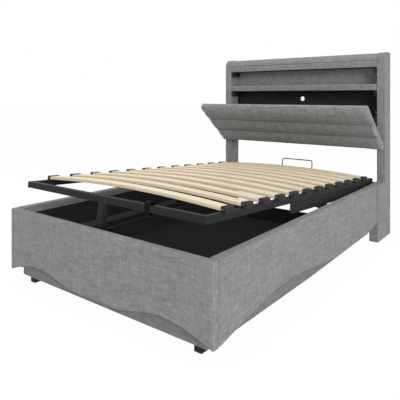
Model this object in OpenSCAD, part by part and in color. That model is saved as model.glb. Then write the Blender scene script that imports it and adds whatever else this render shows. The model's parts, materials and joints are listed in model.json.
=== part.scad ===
// Upholstered lift-up storage bed with a storage headboard, in millimetres.
// The origin is on the floor at the middle of the bed's footprint.
// +X is the right side seen from the foot end, +Y points to the headboard, +Z is up.

/* [Overall] */
// Length from the footboard's face to the back of the headboard
bed_l = 2136; // [2000:1:2400]
// Width over the side rails
bed_w = 1470; // [1200:1:1800]
// How far the headboard posts stand out beyond the side rails
post_proud = 7.5; // [0:0.5:12]
// Height of the headboard posts
headboard_h = 1374; // [1300:1:1600]
// Height of the side rails and footboard
rail_h = 409; // [385:1:412]

/* [Side panels] */
// Thickness of the footboard
footboard_t = 36; // [24:1:50]
// Thickness of each side rail
rail_t = 52; // [40:1:56]
// Radius of the footboard's outer upright edges
footboard_round = 9; // [3:1:14]

/* [Skirt] */
// Height of the skirt's points at the foot end corners
skirt_corner_z = 65; // [50:1:80]
// Height of the footboard skirt's two arches
foot_arch_z = 126; // [100:1:150]
// Height of the footboard skirt's middle dip
foot_dip_z = 78; // [60:1:95]
// Height of the side skirt's arch
side_arch_z = 154; // [120:1:180]
// Height of the side skirt's long dip
side_dip_z = 107; // [85:1:118]
// Height of the side skirt where it meets the headboard leg
side_end_z = 142; // [120:1:180]

/* [Storage box] */
// Thickness of the board lining on each side rail
side_lining_t = 11; // [6:1:14]
// Thickness of the lining on the footboard
foot_lining_t = 3; // [2:0.5:5]
// How far the fabric wraps down inside before the linings start
lining_drop = 38; // [20:1:60]
// Thickness of the recessed plinth boards
plinth_t = 18; // [12:1:24]
// Height of the plinth's lower edge above the floor
plinth_z = 37; // [25:1:50]
// Height of the plinth boards
plinth_h = 128; // [115:1:150]
// How much the side plinth's lower edge rises towards the head
plinth_rise = 20; // [0:1:30]
// Thickness of the storage floor boards
floor_t = 12; // [6:1:20]
// Height of the bearers under the storage floor
bearer_h = 11; // [8:1:25]
// Width of each bearer
bearer_w = 60; // [50:1:90]
// Side of each square block foot
block_foot = 40; // [30:1:48]
// Distance of the block feet from the bed's sides
block_foot_inset = 108; // [95:1:160]
// How much further in the feet under the middle and rear bearers stand
rear_foot_shift = 34; // [0:1:120]
// Distance of the bearers' front edge behind the footboard's inside face
bearer_front = 21; // [21:1:40]
// Distance from the headboard's back to the end board's inside face
end_board_back = 421; // [390:1:460]
// Thickness of the end board
end_board_t = 18; // [12:1:25]
// Height of the end board above the storage floor
end_board_h = 105; // [60:1:120]
// Height of the end board's thicker lower step
end_step_h = 35; // [20:1:50]
// How much the lower step stands out
end_step_t = 4; // [2:1:8]

/* [Rail stiffeners] */
// Thickness of the steel stiffener bars
stiffener_t = 5; // [3:0.5:8]
// Height of the stiffener bars
stiffener_h = 34; // [24:1:45]
// Lower edge of the stiffener bars above the floor
stiffener_z = 201; // [180:1:240]
// Distance of the stiffeners' front end from the foot end
stiffener_front = 330; // [200:1:500]
// Length of the stiffener bars
stiffener_l = 952; // [600:1:1100]

/* [Headboard] */
// Thickness of each headboard post across the bed
post_t = 66; // [50:1:70]
// Depth of the headboard posts
post_d = 117; // [100:1:180]
// Depth of the posts' lower legs, up to the rail's height
leg_d = 281; // [200:1:300]
// Radius of the posts' and top rail's upper front edge
post_round = 60; // [20:1:80]
// Height of the top rail
top_rail_h = 107; // [85:1:140]
// How far the top rail lies below the posts' tops
top_rail_drop = 5; // [0:1:20]
// Height of the open shelf's gap
shelf_gap = 127; // [90:1:180]
// Thickness of the shelf
shelf_t = 48; // [30:1:60]
// Height of the compartment's floor behind the flap
compartment_z = 690; // [670:1:760]
// Thickness of the compartment's floor
compartment_floor_t = 35; // [30:1:45]
// How far the boards lie behind the posts' front faces
front_recess = 3; // [1:0.5:6]
// Thickness of the headboard's back panels
back_t = 10; // [6:1:16]
// How far the back panels lie inside the posts' back faces
back_recess = 2; // [1:0.5:6]
// Width of the cleats under the top rail and the shelf
cleat_w = 22; // [14:1:30]
// Height of the cleats
cleat_h = 42; // [25:1:50]
// Lower edge of the stretcher between the legs
stretcher_z = 250; // [200:1:270]
// Height of the stretcher
stretcher_h = 130; // [80:1:140]
// Thickness of the stretcher
stretcher_t = 30; // [18:1:40]
// Radius of the cable hole through the grommet
cable_r = 20; // [12:0.5:28]
// Wall of the grommet's sleeve
grommet_wall = 2; // [1:0.25:4]
// Radius of the grommet's flange beyond its sleeve
grommet_flange = 5; // [3:0.5:8]
// Thickness of the grommet's flange
grommet_flange_t = 2.5; // [1.5:0.5:4]
// Distance of the cable hole's centre below the shelf
cable_drop = 66; // [50:1:120]

/* [Headboard flap] */
// Angle that the flap stands open, from upright
flap_open = 48.5; // [0:0.5:60]
// Distance of the shut flap's lip below the shelf's top
flap_lip_drop = 0.5; // [0:0.5:20]
// Thickness of the flap with its padding
flap_t = 48; // [36:1:60]
// Thickness of the flap's board
flap_board_t = 12; // [9:1:16]
// How far the flap's ends lie inside the posts' outer faces
flap_side_inset = 7.5; // [0:0.5:15]
// Number of padded channels across the flap
flap_channels = 3; // [2:1:5]
// Depth of the sewn seams between channels
flap_seam_depth = 12; // [4:1:18]
// Thickness of the padding at its outer edges
flap_edge_t = 18; // [10:1:24]
// Radius of the flap hinges' knuckles
knuckle_r = 3.5; // [3:0.25:4]
// Radius of the flap hinges' pins
hinge_pin_r = 1.6; // [1:0.1:2]
// Length of each flap hinge
flap_hinge_l = 60; // [40:1:90]
// Number of flap hinges
flap_hinge_count = 4; // [2:1:6]
// Thickness of the hinge leaves
leaf_t = 1.5; // [1:0.25:2.5]
// Width of the leaf under the flap
moving_leaf_w = 25; // [15:1:34]
// Height of the leaf on the compartment's floor
fixed_leaf_h = 15; // [10:1:17]

/* [Flap stays] */
// Distance of the stay's fixed pin behind the flap's hinge axis
stay_pin_back = 44.5; // [30:1:60]
// Distance of the flap's stay pin behind the flap's back face
stay_flap_off = 20; // [16:1:26]
// Radius of the stay's tube
stay_tube_r = 6; // [5:0.5:7]
// Radius of the stay's rod
stay_rod_r = 3; // [2:0.5:4]
// Radius of the stay's pins
stay_pin_r = 3; // [2:0.5:4]

/* [Slat frame] */
// Gap between the slat frame and the box's side linings
frame_side_gap = 14; // [12:0.5:30]
// Side of the square steel bars
bar = 33; // [25:1:38]
// Wall of the steel bars
bar_wall = 1.5; // [1:0.25:3]
// Height of the bars' undersides when the platform is shut
frame_z = 411; // [408:1:430]
// Gap between the shut frame and the footboard's lining
frame_front_gap = 6.2; // [6:0.1:20]
// Gap between the frame's end and the headboard posts
frame_back_gap = 38.8; // [30:0.1:80]
// Angle that the platform stands open in the stored pose
rest_lift = 3.82; // [0:0.01:30]

/* [Slats] */
// Number of slats
slat_count = 12; // [6:1:14]
// Distance from the frame's front end to the first slat's middle
slat_first = 156; // [100:1:200]
// Distance from the frame's back end to the last slat's middle
slat_last = 151; // [100:1:200]
// Width of each slat
slat_w = 64; // [40:1:80]
// Thickness of each slat
slat_t = 18; // [8:0.5:20]
// Upward bow of each slat
slat_bow = 24; // [5:1:40]
// Length of each slat's straight tip inside its holder
slat_tip = 24; // [15:1:26]
// Height of the slat's tip above the bar
slat_lift = 2; // [2:0.5:12]
// Length of each slat holder across the bed
holder_l = 32; // [30:1:50]
// Wall of a slat holder beside and over the slat
holder_wall = 2; // [1.5:0.5:7]
// How far a slat holder hooks down over the bar's outer face
holder_hook_h = 7; // [3:0.5:12]
// Thickness of the holder's hook
holder_hook_t = 3; // [1.5:0.5:5]

/* [Mattress hoop] */
// Diameter of the hoop's steel rod
hoop_d = 8; // [6:0.5:12]
// Width of the hoop between its legs' middles
hoop_w = 272; // [200:1:400]
// Distance of the hoop's middle from the middle of the bed
hoop_x = 30; // [0:1:100]
// Height of the hoop above the bar
hoop_h = 95; // [60:1:140]
// Radius of the hoop's bends at the rod's middle
hoop_bend = 16; // [10:1:30]
// Radius of the collars at the hoop's feet
hoop_collar_r = 9; // [7:0.5:14]
// Height of the collars
hoop_collar_h = 6; // [3:0.5:12]

/* [Centre leg] */
// Thickness of the leg's two steel flats
leg_flat_t = 3; // [2:0.5:3]
// Width of the front flat where it covers the bar
leg_top_w = 50; // [40:1:60]
// Width of the flats below
leg_low_w = 34; // [24:1:40]
// Distance of the front flat's middle from the middle of the bed
leg_x = 8; // [0:1:30]
// How far the front flat's lower part is offset from its upper part
leg_offset = 20; // [0:1:24]
// Length of the front flat below the bar before it leans back
leg_straight_l = 100; // [40:1:102]
// Width of the rubber strip beside the front flat
leg_strip_w = 14; // [6:1:20]
// Thickness of the leg's rubber foot
leg_pad_t = 6; // [3:0.5:12]

/* [Pull strap] */
// Width of the pull strap
strap_w = 34; // [20:1:50]
// Thickness of the strap's webbing
strap_t = 1.6; // [1:0.1:2]
// Distance of the strap from the middle of the bed
strap_x = 315; // [0:1:500]
// Length of the loop that stands above the bar
strap_up = 14; // [6:1:40]
// Length of the loop that hangs below the bar
strap_down = 12; // [6:1:60]

/* [Lift mechanism] */
// Distance of the pivot in front of the headboard's back
pivot_back = 336; // [310:1:360]
// Distance of the pivot below the bars
pivot_drop = 27; // [22:1:30]
// Radius of the pivot pins
pivot_r = 6; // [4:0.5:8]
// Thickness of the lift arms
arm_t = 5; // [4:0.5:8]
// Depth of the lift arms below the bars
arm_depth = 54; // [50:1:60]
// Length of the lift arms in front of the pivot
arm_l = 1065; // [900:1:1200]
// Depth of the lug below the arm's edge
lug_h = 13; // [12:1:20]
// Length of the lug at the arm
lug_l = 160; // [120:1:200]
// Thickness of the brackets on the rails
bracket_t = 6; // [4:0.5:8]
// Margin of the bracket plate round its pins
bracket_margin = 22; // [20:1:26]
// Radius of the boss between the bracket and the arm
boss_r = 15; // [12:0.5:18]
// Distance of the strut's lower pin in front of the pivot
strut_low_front = 100; // [80:1:130]
// Distance of the strut's lower pin below the pivot
strut_low_drop = 125; // [110:1:140]
// Distance of the strut's upper pin in front of the pivot
strut_top_front = 690; // [600:1:760]
// Distance of the strut's upper pin below the pivot
strut_top_drop = 31; // [28:1:34]
// Radius of the gas strut's tube
strut_tube_r = 11; // [9:0.5:13]
// Wall of the gas strut's tube
strut_wall = 1.6; // [1:0.2:3]
// Radius of the gas strut's rod
strut_rod_r = 5; // [4:0.5:6]
// Length of the gas strut's tube
strut_tube_l = 470; // [400:1:490]
// Gap between the strut's tube and the lift arm
strut_side_gap = 10; // [8:0.5:14]
// Radius of the strut's end eyes
eye_r = 10; // [8:0.5:12]
// Thickness of the strut's end eyes
eye_t = 12; // [8:0.5:14]
// Radius of the strut's pins
stud_r = 5; // [3:0.5:6]

/* [Bolts] */
// Radius of the bolts' shanks
bolt_r = 4; // [2.5:0.5:5]
// Radius of the bolt heads over their corners
bolt_head_r = 8; // [6:0.5:10]
// Thickness of the bolt heads
bolt_head_t = 5; // [3:0.5:7]

/* [Hidden] */
// Clearances
slide_fit = 0.06;
slat_fit = 0.3;
soft_gap = 0.3;
strap_fit = 0.3;
cut = 1;
$fn = 48;

// Shares of the skirts' lengths at which their curves turn
foot_arch_share = 0.612;
foot_flat_share = 0.177;
side_arch_share = 0.307;
side_dip_start_share = 0.62;
side_dip_end_share = 0.862;
skirt_steps = 14;
slat_steps = 20;

// Places along the bed
y_foot = -bed_l / 2;
y_head = bed_l / 2;
y_inner = y_foot + footboard_t;
y_leg = y_head - leg_d;
y_post = y_head - post_d;
y_board = y_post + front_recess;
y_back = y_head - back_recess - back_t;
rail_x = bed_w / 2;
rail_in_x = rail_x - rail_t;
lining_x = rail_in_x - side_lining_t;
post_x = rail_x + post_proud;
post_in_x = post_x - post_t;

// Heights in the storage box
lining_top_z = rail_h - lining_drop;
plinth_top_z = plinth_z + plinth_h;
lining_lap = 15;
lining_z = plinth_top_z - lining_lap;
floor_z = plinth_z + bearer_h + floor_t;
y_plinth = y_inner + foot_lining_t;
y_bearer = y_inner + bearer_front;
y_end = y_head - end_board_back;
box_x = lining_x - plinth_t;
floor_joint_y = (y_plinth + plinth_t + y_end) / 2;
plinth_back_gap = 3;

// Heights in the headboard
top_rail_top = headboard_h - top_rail_drop;
top_rail_z = top_rail_top - top_rail_h;
shelf_top = top_rail_z - shelf_gap;
shelf_z = shelf_top - shelf_t;
compartment_h = shelf_z - compartment_z;
compartment_low = compartment_z - compartment_floor_t;
back_split_z = shelf_z + shelf_t / 2;
cable_z = shelf_z - cable_drop;
back_round = 12;

// Flap places, with the hinge axis just in front of the boards' faces
hinge_gap = 1.5;
flap_axis_y = y_board - hinge_gap - leaf_t - knuckle_r;
flap_axis_z = compartment_z - compartment_floor_t / 2;
flap_seat = knuckle_r + 0.5;
flap_x = post_x - flap_side_inset;
flap_l = shelf_top - flap_lip_drop - flap_axis_z - flap_seat;
pad_t = flap_t - flap_board_t;
flap_board_inset = 6;
flap_top_share = 0.366;
knuckle_gap = 0.4;

// Stay places, with the pins' heights as shares of the compartment's height
stay_pin_share = 0.618;
stay_flap_share = 0.277;
stay_pin_up = stay_pin_share * compartment_h;
stay_flap_up = stay_flap_share * compartment_h;
stay_neck = 1.5;
stay_end_room = 25.5;
stay_eye_r = 5.5;
stay_eye_t = 8;
stay_side_gap = 8.5;
stay_x = post_in_x - stay_side_gap - stay_eye_t / 2;
stay_head_r = 6;
stay_head_t = 3;
stay_wall = 1.2;
stay_bracket_t = 3;
stay_bracket_w = 18;
stay_y = flap_axis_y + stay_pin_back;
stay_z = flap_axis_z + stay_pin_up;
stay_flap_y = flap_axis_y + stay_flap_off * cos(flap_open) - stay_flap_up * sin(flap_open);
stay_flap_z = flap_axis_z + stay_flap_up * cos(flap_open) + stay_flap_off * sin(flap_open);
stay_dy = stay_flap_y - stay_y;
stay_dz = stay_flap_z - stay_z;
stay_l = sqrt(stay_dy * stay_dy + stay_dz * stay_dz);
stay_angle = atan2(stay_dz, stay_dy);

// Slat frame places when shut
y_frame = y_plinth + frame_front_gap;
frame_l = y_post - frame_back_gap - y_frame;
frame_x = lining_x - frame_side_gap;
frame_top = frame_z + bar;
slat_pitch = (frame_l - slat_first - slat_last) / (slat_count - 1);
holder_w = slat_w + 2 * holder_wall;
holder_top_rim = 1.5;
holder_h = slat_lift + slat_t + holder_wall + holder_top_rim;
tip_x = frame_x - holder_l + slat_tip;
arc_x = frame_x - holder_l;
bow_r = (arc_x * arc_x + slat_bow * slat_bow) / (2 * slat_bow);
bow_a = asin(arc_x / bow_r);

// Lift mechanism places
y_pivot = y_head - pivot_back;
z_pivot = frame_z - pivot_drop;
arm_x = frame_x - arm_t;
arm_tail = 34;
arm_nose = 9;
bracket_x = lining_x - bracket_t;
strut_x = arm_x - strut_side_gap - strut_tube_r;
strut_low_y = y_pivot - strut_low_front;
strut_low_z = z_pivot - strut_low_drop;
strut_top_y = y_pivot - strut_top_front * cos(rest_lift) - strut_top_drop * sin(rest_lift);
strut_top_z = z_pivot + strut_top_front * sin(rest_lift) - strut_top_drop * cos(rest_lift);
strut_dy = strut_top_y - strut_low_y;
strut_dz = strut_top_z - strut_low_z;
strut_l = sqrt(strut_dy * strut_dy + strut_dz * strut_dz);
strut_angle = atan2(strut_dz, strut_dy);
strut_neck = 8;
strut_gland = 14;
piston_l = 16;
rod_in_share = 0.35;
stop_h = 8;
stop_front = 60;
stop_w = 30;
stud_head_r = 8;
stud_head_t = 3;

// Centre leg places, measured down from the bar
leg_h = frame_z - floor_z - leg_pad_t - soft_gap;
leg_join_h = 20;
leg_pad_d = 14;

// Stiffener and bracket bolts, as places along the bed
stiffener_bolt_shares = [0.04, 0.5, 0.94];
stiffener_bolt_z = stiffener_z + stiffener_h / 2;
bracket_bolts = [
    [-strut_low_front - bracket_margin / 2, -strut_low_drop + 2 * bracket_margin],
    [bracket_margin / 2, -strut_low_drop + bracket_margin],
    [-strut_low_front / 2 - bracket_margin, -bracket_margin / 2]
];

SLATS = [for (i = [1 : slat_count]) str("slat_", i)];

// Fabric and finish colours
fabric = [0.56, 0.56, 0.56];
fabric_low = [0.45, 0.45, 0.45];
black_board = [0.12, 0.12, 0.12];
floor_cloth = [0.24, 0.24, 0.24];
steel_black = [0.2, 0.2, 0.21];
steel_grey = [0.34, 0.34, 0.35];
bright_steel = [0.75, 0.75, 0.76];
beech = [0.87, 0.78, 0.62];
plastic_black = [0.16, 0.15, 0.17];

// A block between two corners
module block(low, high) {
    translate(low) cube(high - low);
}

// Draws its children on the right side and mirrored on the left
module both_sides() {
    children();
    mirror([1, 0, 0]) children();
}

// Turns its children from the shut place to the stored open place
module lifted() {
    translate([0, y_pivot, z_pivot]) rotate([-rest_lift, 0, 0]) translate([0, -y_pivot, -z_pivot]) children();
}

// Turns its children from the shut flap to the stored open flap
module flap_opened() {
    translate([0, flap_axis_y, flap_axis_z]) rotate([flap_open, 0, 0]) children();
}

// A round bar along X between two places
module bar_x(x0, x1, r, y, z) {
    translate([x0, y, z]) rotate([0, 90, 0]) cylinder(h = x1 - x0, r = r);
}

// Extrudes an outline drawn as [y, z] along X
module side_plate(x0, x1) {
    translate([x0, 0, 0]) rotate([90, 0, 90]) linear_extrude(x1 - x0) children();
}

// Extrudes an outline drawn as [x, z] along Y
module front_plate(y0, y1) {
    translate([0, y1, 0]) rotate([90, 0, 0]) linear_extrude(y1 - y0) children();
}

// Smooth step from 0 to 1
function ease(t) = (1 - cos(180 * t)) / 2;

// Height of the footboard's skirt at a distance a from the middle
function foot_skirt(a) =
    let (half = rail_x, flat = foot_flat_share * half, arch = foot_arch_share * half)
    a < flat ? foot_dip_z
    : a < arch ? foot_dip_z + (foot_arch_z - foot_dip_z) * ease((a - flat) / (arch - flat))
    : skirt_corner_z + (foot_arch_z - skirt_corner_z) * cos(90 * (a - arch) / (half - arch));

// Height of a side rail's skirt at a share t of the way to the headboard leg
function side_skirt(t) =
    t < side_arch_share
    ? skirt_corner_z + (side_arch_z - skirt_corner_z) * pow(sin(90 * t / side_arch_share), 1.25)
    : t < side_dip_start_share
    ? side_arch_z + (side_dip_z - side_arch_z)
        * ease((t - side_arch_share) / (side_dip_start_share - side_arch_share))
    : t < side_dip_end_share ? side_dip_z
    : side_dip_z + (side_end_z - side_dip_z)
        * (1 - cos(90 * (t - side_dip_end_share) / (1 - side_dip_end_share)));

// Points of an arc about [cy, cz] from angle a0 to angle a1
function arc(cy, cz, r, a0, a1, n = 8) =
    [for (i = [0 : n]) let (a = a0 + (a1 - a0) * i / n) [cy + r * cos(a), cz + r * sin(a)]];

module footboard_outline() {
    n = 2 * skirt_steps;
    polygon(concat(
        [[-rail_x, rail_h]],
        [for (i = [-n : n]) let (x = rail_x * i / n) [x, foot_skirt(abs(x))]],
        [[rail_x, rail_h]]
    ));
}

module footboard_plan() {
    r = footboard_round;
    polygon(concat(
        [[-rail_x, y_inner]],
        arc(-rail_x + r, y_foot + r, r, 180, 270),
        arc(rail_x - r, y_foot + r, r, 270, 360),
        [[rail_x, y_inner]]
    ));
}

module footboard() {
    color(fabric) intersection() {
        front_plate(y_foot, y_inner) footboard_outline();
        linear_extrude(rail_h) footboard_plan();
    }
}

module side_rail() {
    n = 3 * skirt_steps;
    run = y_leg - y_inner;
    color(fabric) side_plate(rail_in_x, rail_x) polygon(concat(
        [[y_inner, rail_h]],
        [for (i = [0 : n]) let (y = y_inner + run * i / n) [y, side_skirt((y - y_foot) / (y_leg - y_foot))]],
        [[y_leg, rail_h]]
    ));
}
module side_rail_right() { side_rail(); }
module side_rail_left() { mirror([1, 0, 0]) side_rail(); }

// Bolt holes through a stiffener and the lining behind it
module stiffener_holes() {
    for (s = stiffener_bolt_shares)
        bar_x(lining_x - stiffener_t - cut, rail_in_x + cut, bolt_r + slide_fit,
            y_foot + stiffener_front + stiffener_l * s, stiffener_bolt_z);
}

// Bolt holes through a lift bracket and the lining behind it
module bracket_holes() {
    for (p = bracket_bolts)
        bar_x(bracket_x - cut, rail_in_x + cut, bolt_r + slide_fit, y_pivot + p[0], z_pivot + p[1]);
}

module side_lining() {
    difference() {
        block([lining_x, y_plinth, lining_z], [rail_in_x, y_leg, lining_top_z]);
        stiffener_holes();
        bracket_holes();
    }
}

module box_linings() {
    color(black_board) {
        both_sides() side_lining();
        block([-rail_in_x, y_inner, lining_z], [rail_in_x, y_plinth, lining_top_z]);
    }
}

module plinth_front() {
    color(fabric_low)
        block([-lining_x, y_plinth, plinth_z], [lining_x, y_plinth + plinth_t, plinth_top_z]);
}

module plinth_side() {
    y0 = y_plinth + plinth_t;
    y1 = y_leg - plinth_back_gap;
    color(fabric_low) side_plate(box_x, lining_x) polygon([
        [y0, plinth_z], [(y0 + y1) / 2, plinth_z], [y1, plinth_z + plinth_rise],
        [y1, plinth_top_z], [y0, plinth_top_z]
    ]);
}
module plinth_sides() { both_sides() plinth_side(); }

module storage_floor(y0, y1) {
    color(floor_cloth) block([-box_x, y0, floor_z - floor_t], [box_x, y1, floor_z]);
}
module storage_floor_foot() { storage_floor(y_plinth + plinth_t, floor_joint_y); }
module storage_floor_head() { storage_floor(floor_joint_y, y_end + end_board_t); }

// Front edges of the three bearers
bearer_ys = [y_bearer, floor_joint_y - bearer_w / 2, y_end + end_board_t - bearer_w];

module floor_bearers() {
    color(beech) for (y = bearer_ys)
        block([-box_x, y, plinth_z], [box_x, y + bearer_w, plinth_z + bearer_h]);
}

module block_feet() {
    color(plastic_black) for (y = bearer_ys) {
        x1 = rail_x - block_foot_inset - (y > y_bearer ? rear_foot_shift : 0);
        both_sides() block([x1 - block_foot, y, 0], [x1, y + block_foot, plinth_z]);
    }
}

module end_board() {
    color(black_board) union() {
        block([-box_x, y_end, floor_z], [box_x, y_end + end_board_t, floor_z + end_board_h]);
        block([-box_x, y_end - end_step_t, floor_z], [box_x, y_end + end_board_t, floor_z + end_step_h]);
    }
}

module rail_stiffener() {
    r = stiffener_h / 2;
    y0 = y_foot + stiffener_front;
    y1 = y0 + stiffener_l - r;
    color(steel_grey) difference() {
        union() {
            block([lining_x - stiffener_t, y0, stiffener_z], [lining_x, y1, stiffener_z + stiffener_h]);
            bar_x(lining_x - stiffener_t, lining_x, r, y1, stiffener_z + r);
        }
        stiffener_holes();
    }
}
module rail_stiffener_right() { rail_stiffener(); }
module rail_stiffener_left() { mirror([1, 0, 0]) rail_stiffener(); }

// One side of the headboard: a slim post on a deeper leg
module post() {
    r = post_round;
    b = back_round;
    color(fabric) side_plate(post_in_x, post_x) polygon(concat(
        [[y_leg, 0], [y_head, 0]],
        arc(y_head - b, headboard_h - b, b, 0, 90, 4),
        arc(y_post + r, headboard_h - r, r, 90, 180, 10),
        [[y_post, rail_h], [y_leg, rail_h]]
    ));
}
module post_right() { post(); }
module post_left() { mirror([1, 0, 0]) post(); }

module top_rail() {
    r = post_round - front_recess;
    color(fabric) side_plate(-post_in_x, post_in_x) polygon(concat(
        [[y_board, top_rail_z], [y_back, top_rail_z], [y_back, top_rail_top]],
        arc(y_board + r, top_rail_top - r, r, 90, 180, 10)
    ));
}

module shelf() {
    color(fabric) block([-post_in_x, y_board, shelf_z], [post_in_x, y_back, shelf_top]);
}

// Cleats that carry the top rail and the shelf on the posts' inner faces
module board_cleats() {
    color(black_board) both_sides() for (z = [top_rail_z, shelf_z])
        block([post_in_x - cleat_w, y_board, z - cleat_h], [post_in_x, y_back, z]);
}

module compartment_floor() {
    color(fabric) block([-post_in_x, y_board, compartment_low], [post_in_x, y_back, compartment_z]);
}

module shelf_back() {
    color(fabric) block([-post_in_x, y_back, back_split_z], [post_in_x, y_back + back_t, top_rail_top]);
}

module compartment_back() {
    color(black_board) difference() {
        block([-post_in_x, y_back, compartment_low], [post_in_x, y_back + back_t, back_split_z]);
        translate([0, y_back - cut, cable_z]) rotate([-90, 0, 0])
            cylinder(h = back_t + 2 * cut, r = cable_r + grommet_wall + slide_fit);
    }
}

module cable_grommet() {
    sleeve_r = cable_r + grommet_wall;
    color(plastic_black) translate([0, y_back, cable_z]) rotate([-90, 0, 0]) difference() {
        union() {
            translate([0, 0, -grommet_flange_t]) cylinder(h = grommet_flange_t, r = sleeve_r + grommet_flange);
            cylinder(h = back_t, r = sleeve_r);
        }
        translate([0, 0, -grommet_flange_t - cut])
            cylinder(h = grommet_flange_t + back_t + 2 * cut, r = cable_r);
    }
}

module stretcher() {
    color(black_board) block(
        [-post_in_x, y_back - stretcher_t, stretcher_z], [post_in_x, y_back, stretcher_z + stretcher_h]);
}

// Plate on the rail that carries the lift pivot, the strut's lower pin and the arm's stop
module lift_bracket() {
    m = bracket_margin;
    back = m;
    color(steel_grey) difference() {
        union() {
            translate([0, y_pivot, z_pivot]) side_plate(bracket_x, lining_x) polygon([
                [-strut_low_front - m, -strut_low_drop - m], [back, -strut_low_drop - m], [back + m, -m],
                [back, m], [-m, m], [-strut_low_front - m, -strut_low_drop + 3 * m]
            ]);
            bar_x(frame_x + soft_gap, bracket_x, boss_r, y_pivot, z_pivot);
            translate([0, y_pivot - stop_front - stop_w, z_pivot]) block(
                [arm_x, 0, pivot_drop - arm_depth - soft_gap - stop_h],
                [bracket_x, stop_w, pivot_drop - arm_depth - soft_gap]);
        }
        bar_x(frame_x - cut, lining_x + cut, pivot_r, y_pivot, z_pivot);
        bar_x(bracket_x - cut, lining_x + cut, stud_r, strut_low_y, strut_low_z);
        bracket_holes();
    }
}
module lift_bracket_right() { lift_bracket(); }
module lift_bracket_left() { mirror([1, 0, 0]) lift_bracket(); }

// The two lift pivots and the struts' two lower pins, with heads on their inner ends
module pivot_pins() {
    color(bright_steel) both_sides() {
        union() {
            bar_x(arm_x - soft_gap, lining_x, pivot_r, y_pivot, z_pivot);
            bar_x(arm_x - soft_gap - stud_head_t, arm_x - soft_gap, pivot_r + stud_head_t, y_pivot, z_pivot);
        }
        union() {
            bar_x(strut_x - eye_t / 2 - soft_gap, lining_x, stud_r, strut_low_y, strut_low_z);
            bar_x(strut_x - eye_t / 2 - soft_gap - stud_head_t, strut_x - eye_t / 2 - soft_gap,
                stud_head_r, strut_low_y, strut_low_z);
        }
    }
}

// One hexagon-head bolt along X, with its head inwards at x
module bolt(x, y, z) {
    union() {
        bar_x(x, rail_in_x, bolt_r, y, z);
        translate([x - bolt_head_t, y, z]) rotate([0, 90, 0]) cylinder(h = bolt_head_t, r = bolt_head_r, $fn = 6);
    }
}

module base_bolts() {
    color(steel_black) both_sides() {
        for (s = stiffener_bolt_shares)
            bolt(lining_x - stiffener_t, y_foot + stiffener_front + stiffener_l * s, stiffener_bolt_z);
        for (p = bracket_bolts)
            bolt(bracket_x, y_pivot + p[0], z_pivot + p[1]);
    }
}

// Middles of the flap hinges along the bed's width
hinge_xs = [for (i = [0 : flap_hinge_count - 1])
    -flap_x + 2 * flap_x * (i + 0.5) / flap_hinge_count];
knuckle_l = flap_hinge_l / 3;

// Leaves on the compartment's floor, each with its middle knuckle and the pin
module flap_hinge_fixed() {
    y_leaf = y_board - leaf_t;
    color(steel_grey) for (x = hinge_xs) union() {
        block([x - flap_hinge_l / 2, y_leaf, flap_axis_z - fixed_leaf_h],
            [x + flap_hinge_l / 2, y_board, flap_axis_z - knuckle_r]);
        block([x - knuckle_l / 2, flap_axis_y, flap_axis_z - knuckle_r],
            [x + knuckle_l / 2, y_board, flap_axis_z - knuckle_r + leaf_t]);
        block([x - knuckle_l / 2, y_leaf, flap_axis_z - knuckle_r - leaf_t],
            [x + knuckle_l / 2, y_board, flap_axis_z]);
        bar_x(x - knuckle_l / 2, x + knuckle_l / 2, knuckle_r, flap_axis_y, flap_axis_z);
        bar_x(x - flap_hinge_l / 2, x + flap_hinge_l / 2, hinge_pin_r, flap_axis_y, flap_axis_z);
    }
}

// Leaves under the flap, each with its two outer knuckles
module flap_hinge_moving() {
    outer = flap_hinge_l / 2;
    inner = knuckle_l / 2 + knuckle_gap;
    color(steel_grey) flap_opened() for (x = hinge_xs) translate([x, 0, 0]) difference() {
        union() {
            block([-outer, -moving_leaf_w, flap_seat - leaf_t], [outer, 0, flap_seat]);
            for (s = [-outer, inner])
                bar_x(s, s + outer - inner, knuckle_r, 0, 0);
        }
        bar_x(-outer - cut, outer + cut, hinge_pin_r + slide_fit, 0, 0);
        bar_x(-inner, inner, knuckle_r + knuckle_gap, 0, 0);
    }
}

// The stays' fixed pins on the posts, with heads inwards
module stay_pins() {
    x0 = stay_x - stay_eye_t / 2 - soft_gap;
    color(bright_steel) both_sides() union() {
        bar_x(x0, post_in_x, stay_pin_r, stay_y, stay_z);
        bar_x(x0 - stay_head_t, x0, stay_head_r, stay_y, stay_z);
    }
}

// Side bar, closed at the front and open at the back
module side_bar() {
    w = bar_wall;
    color(steel_black) lifted() difference() {
        block([frame_x - bar, y_frame, frame_z], [frame_x, y_frame + frame_l, frame_top]);
        block([frame_x - bar + w, y_frame + w, frame_z + w],
            [frame_x - w, y_frame + frame_l + cut, frame_top - w]);
    }
}
module side_bar_right() { side_bar(); }
module side_bar_left() { mirror([1, 0, 0]) side_bar(); }

// Bar across the frame between the side bars, open at its ends
module cross_bar(y) {
    x = frame_x - bar;
    w = bar_wall;
    color(steel_black) lifted() difference() {
        block([-x, y, frame_z], [x, y + bar, frame_top]);
        block([-x - cut, y + w, frame_z + w], [x + cut, y + bar - w, frame_top - w]);
    }
}
module front_bar() { cross_bar(y_frame); }
module rear_bar() { cross_bar(y_frame + frame_l - bar); }

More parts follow.
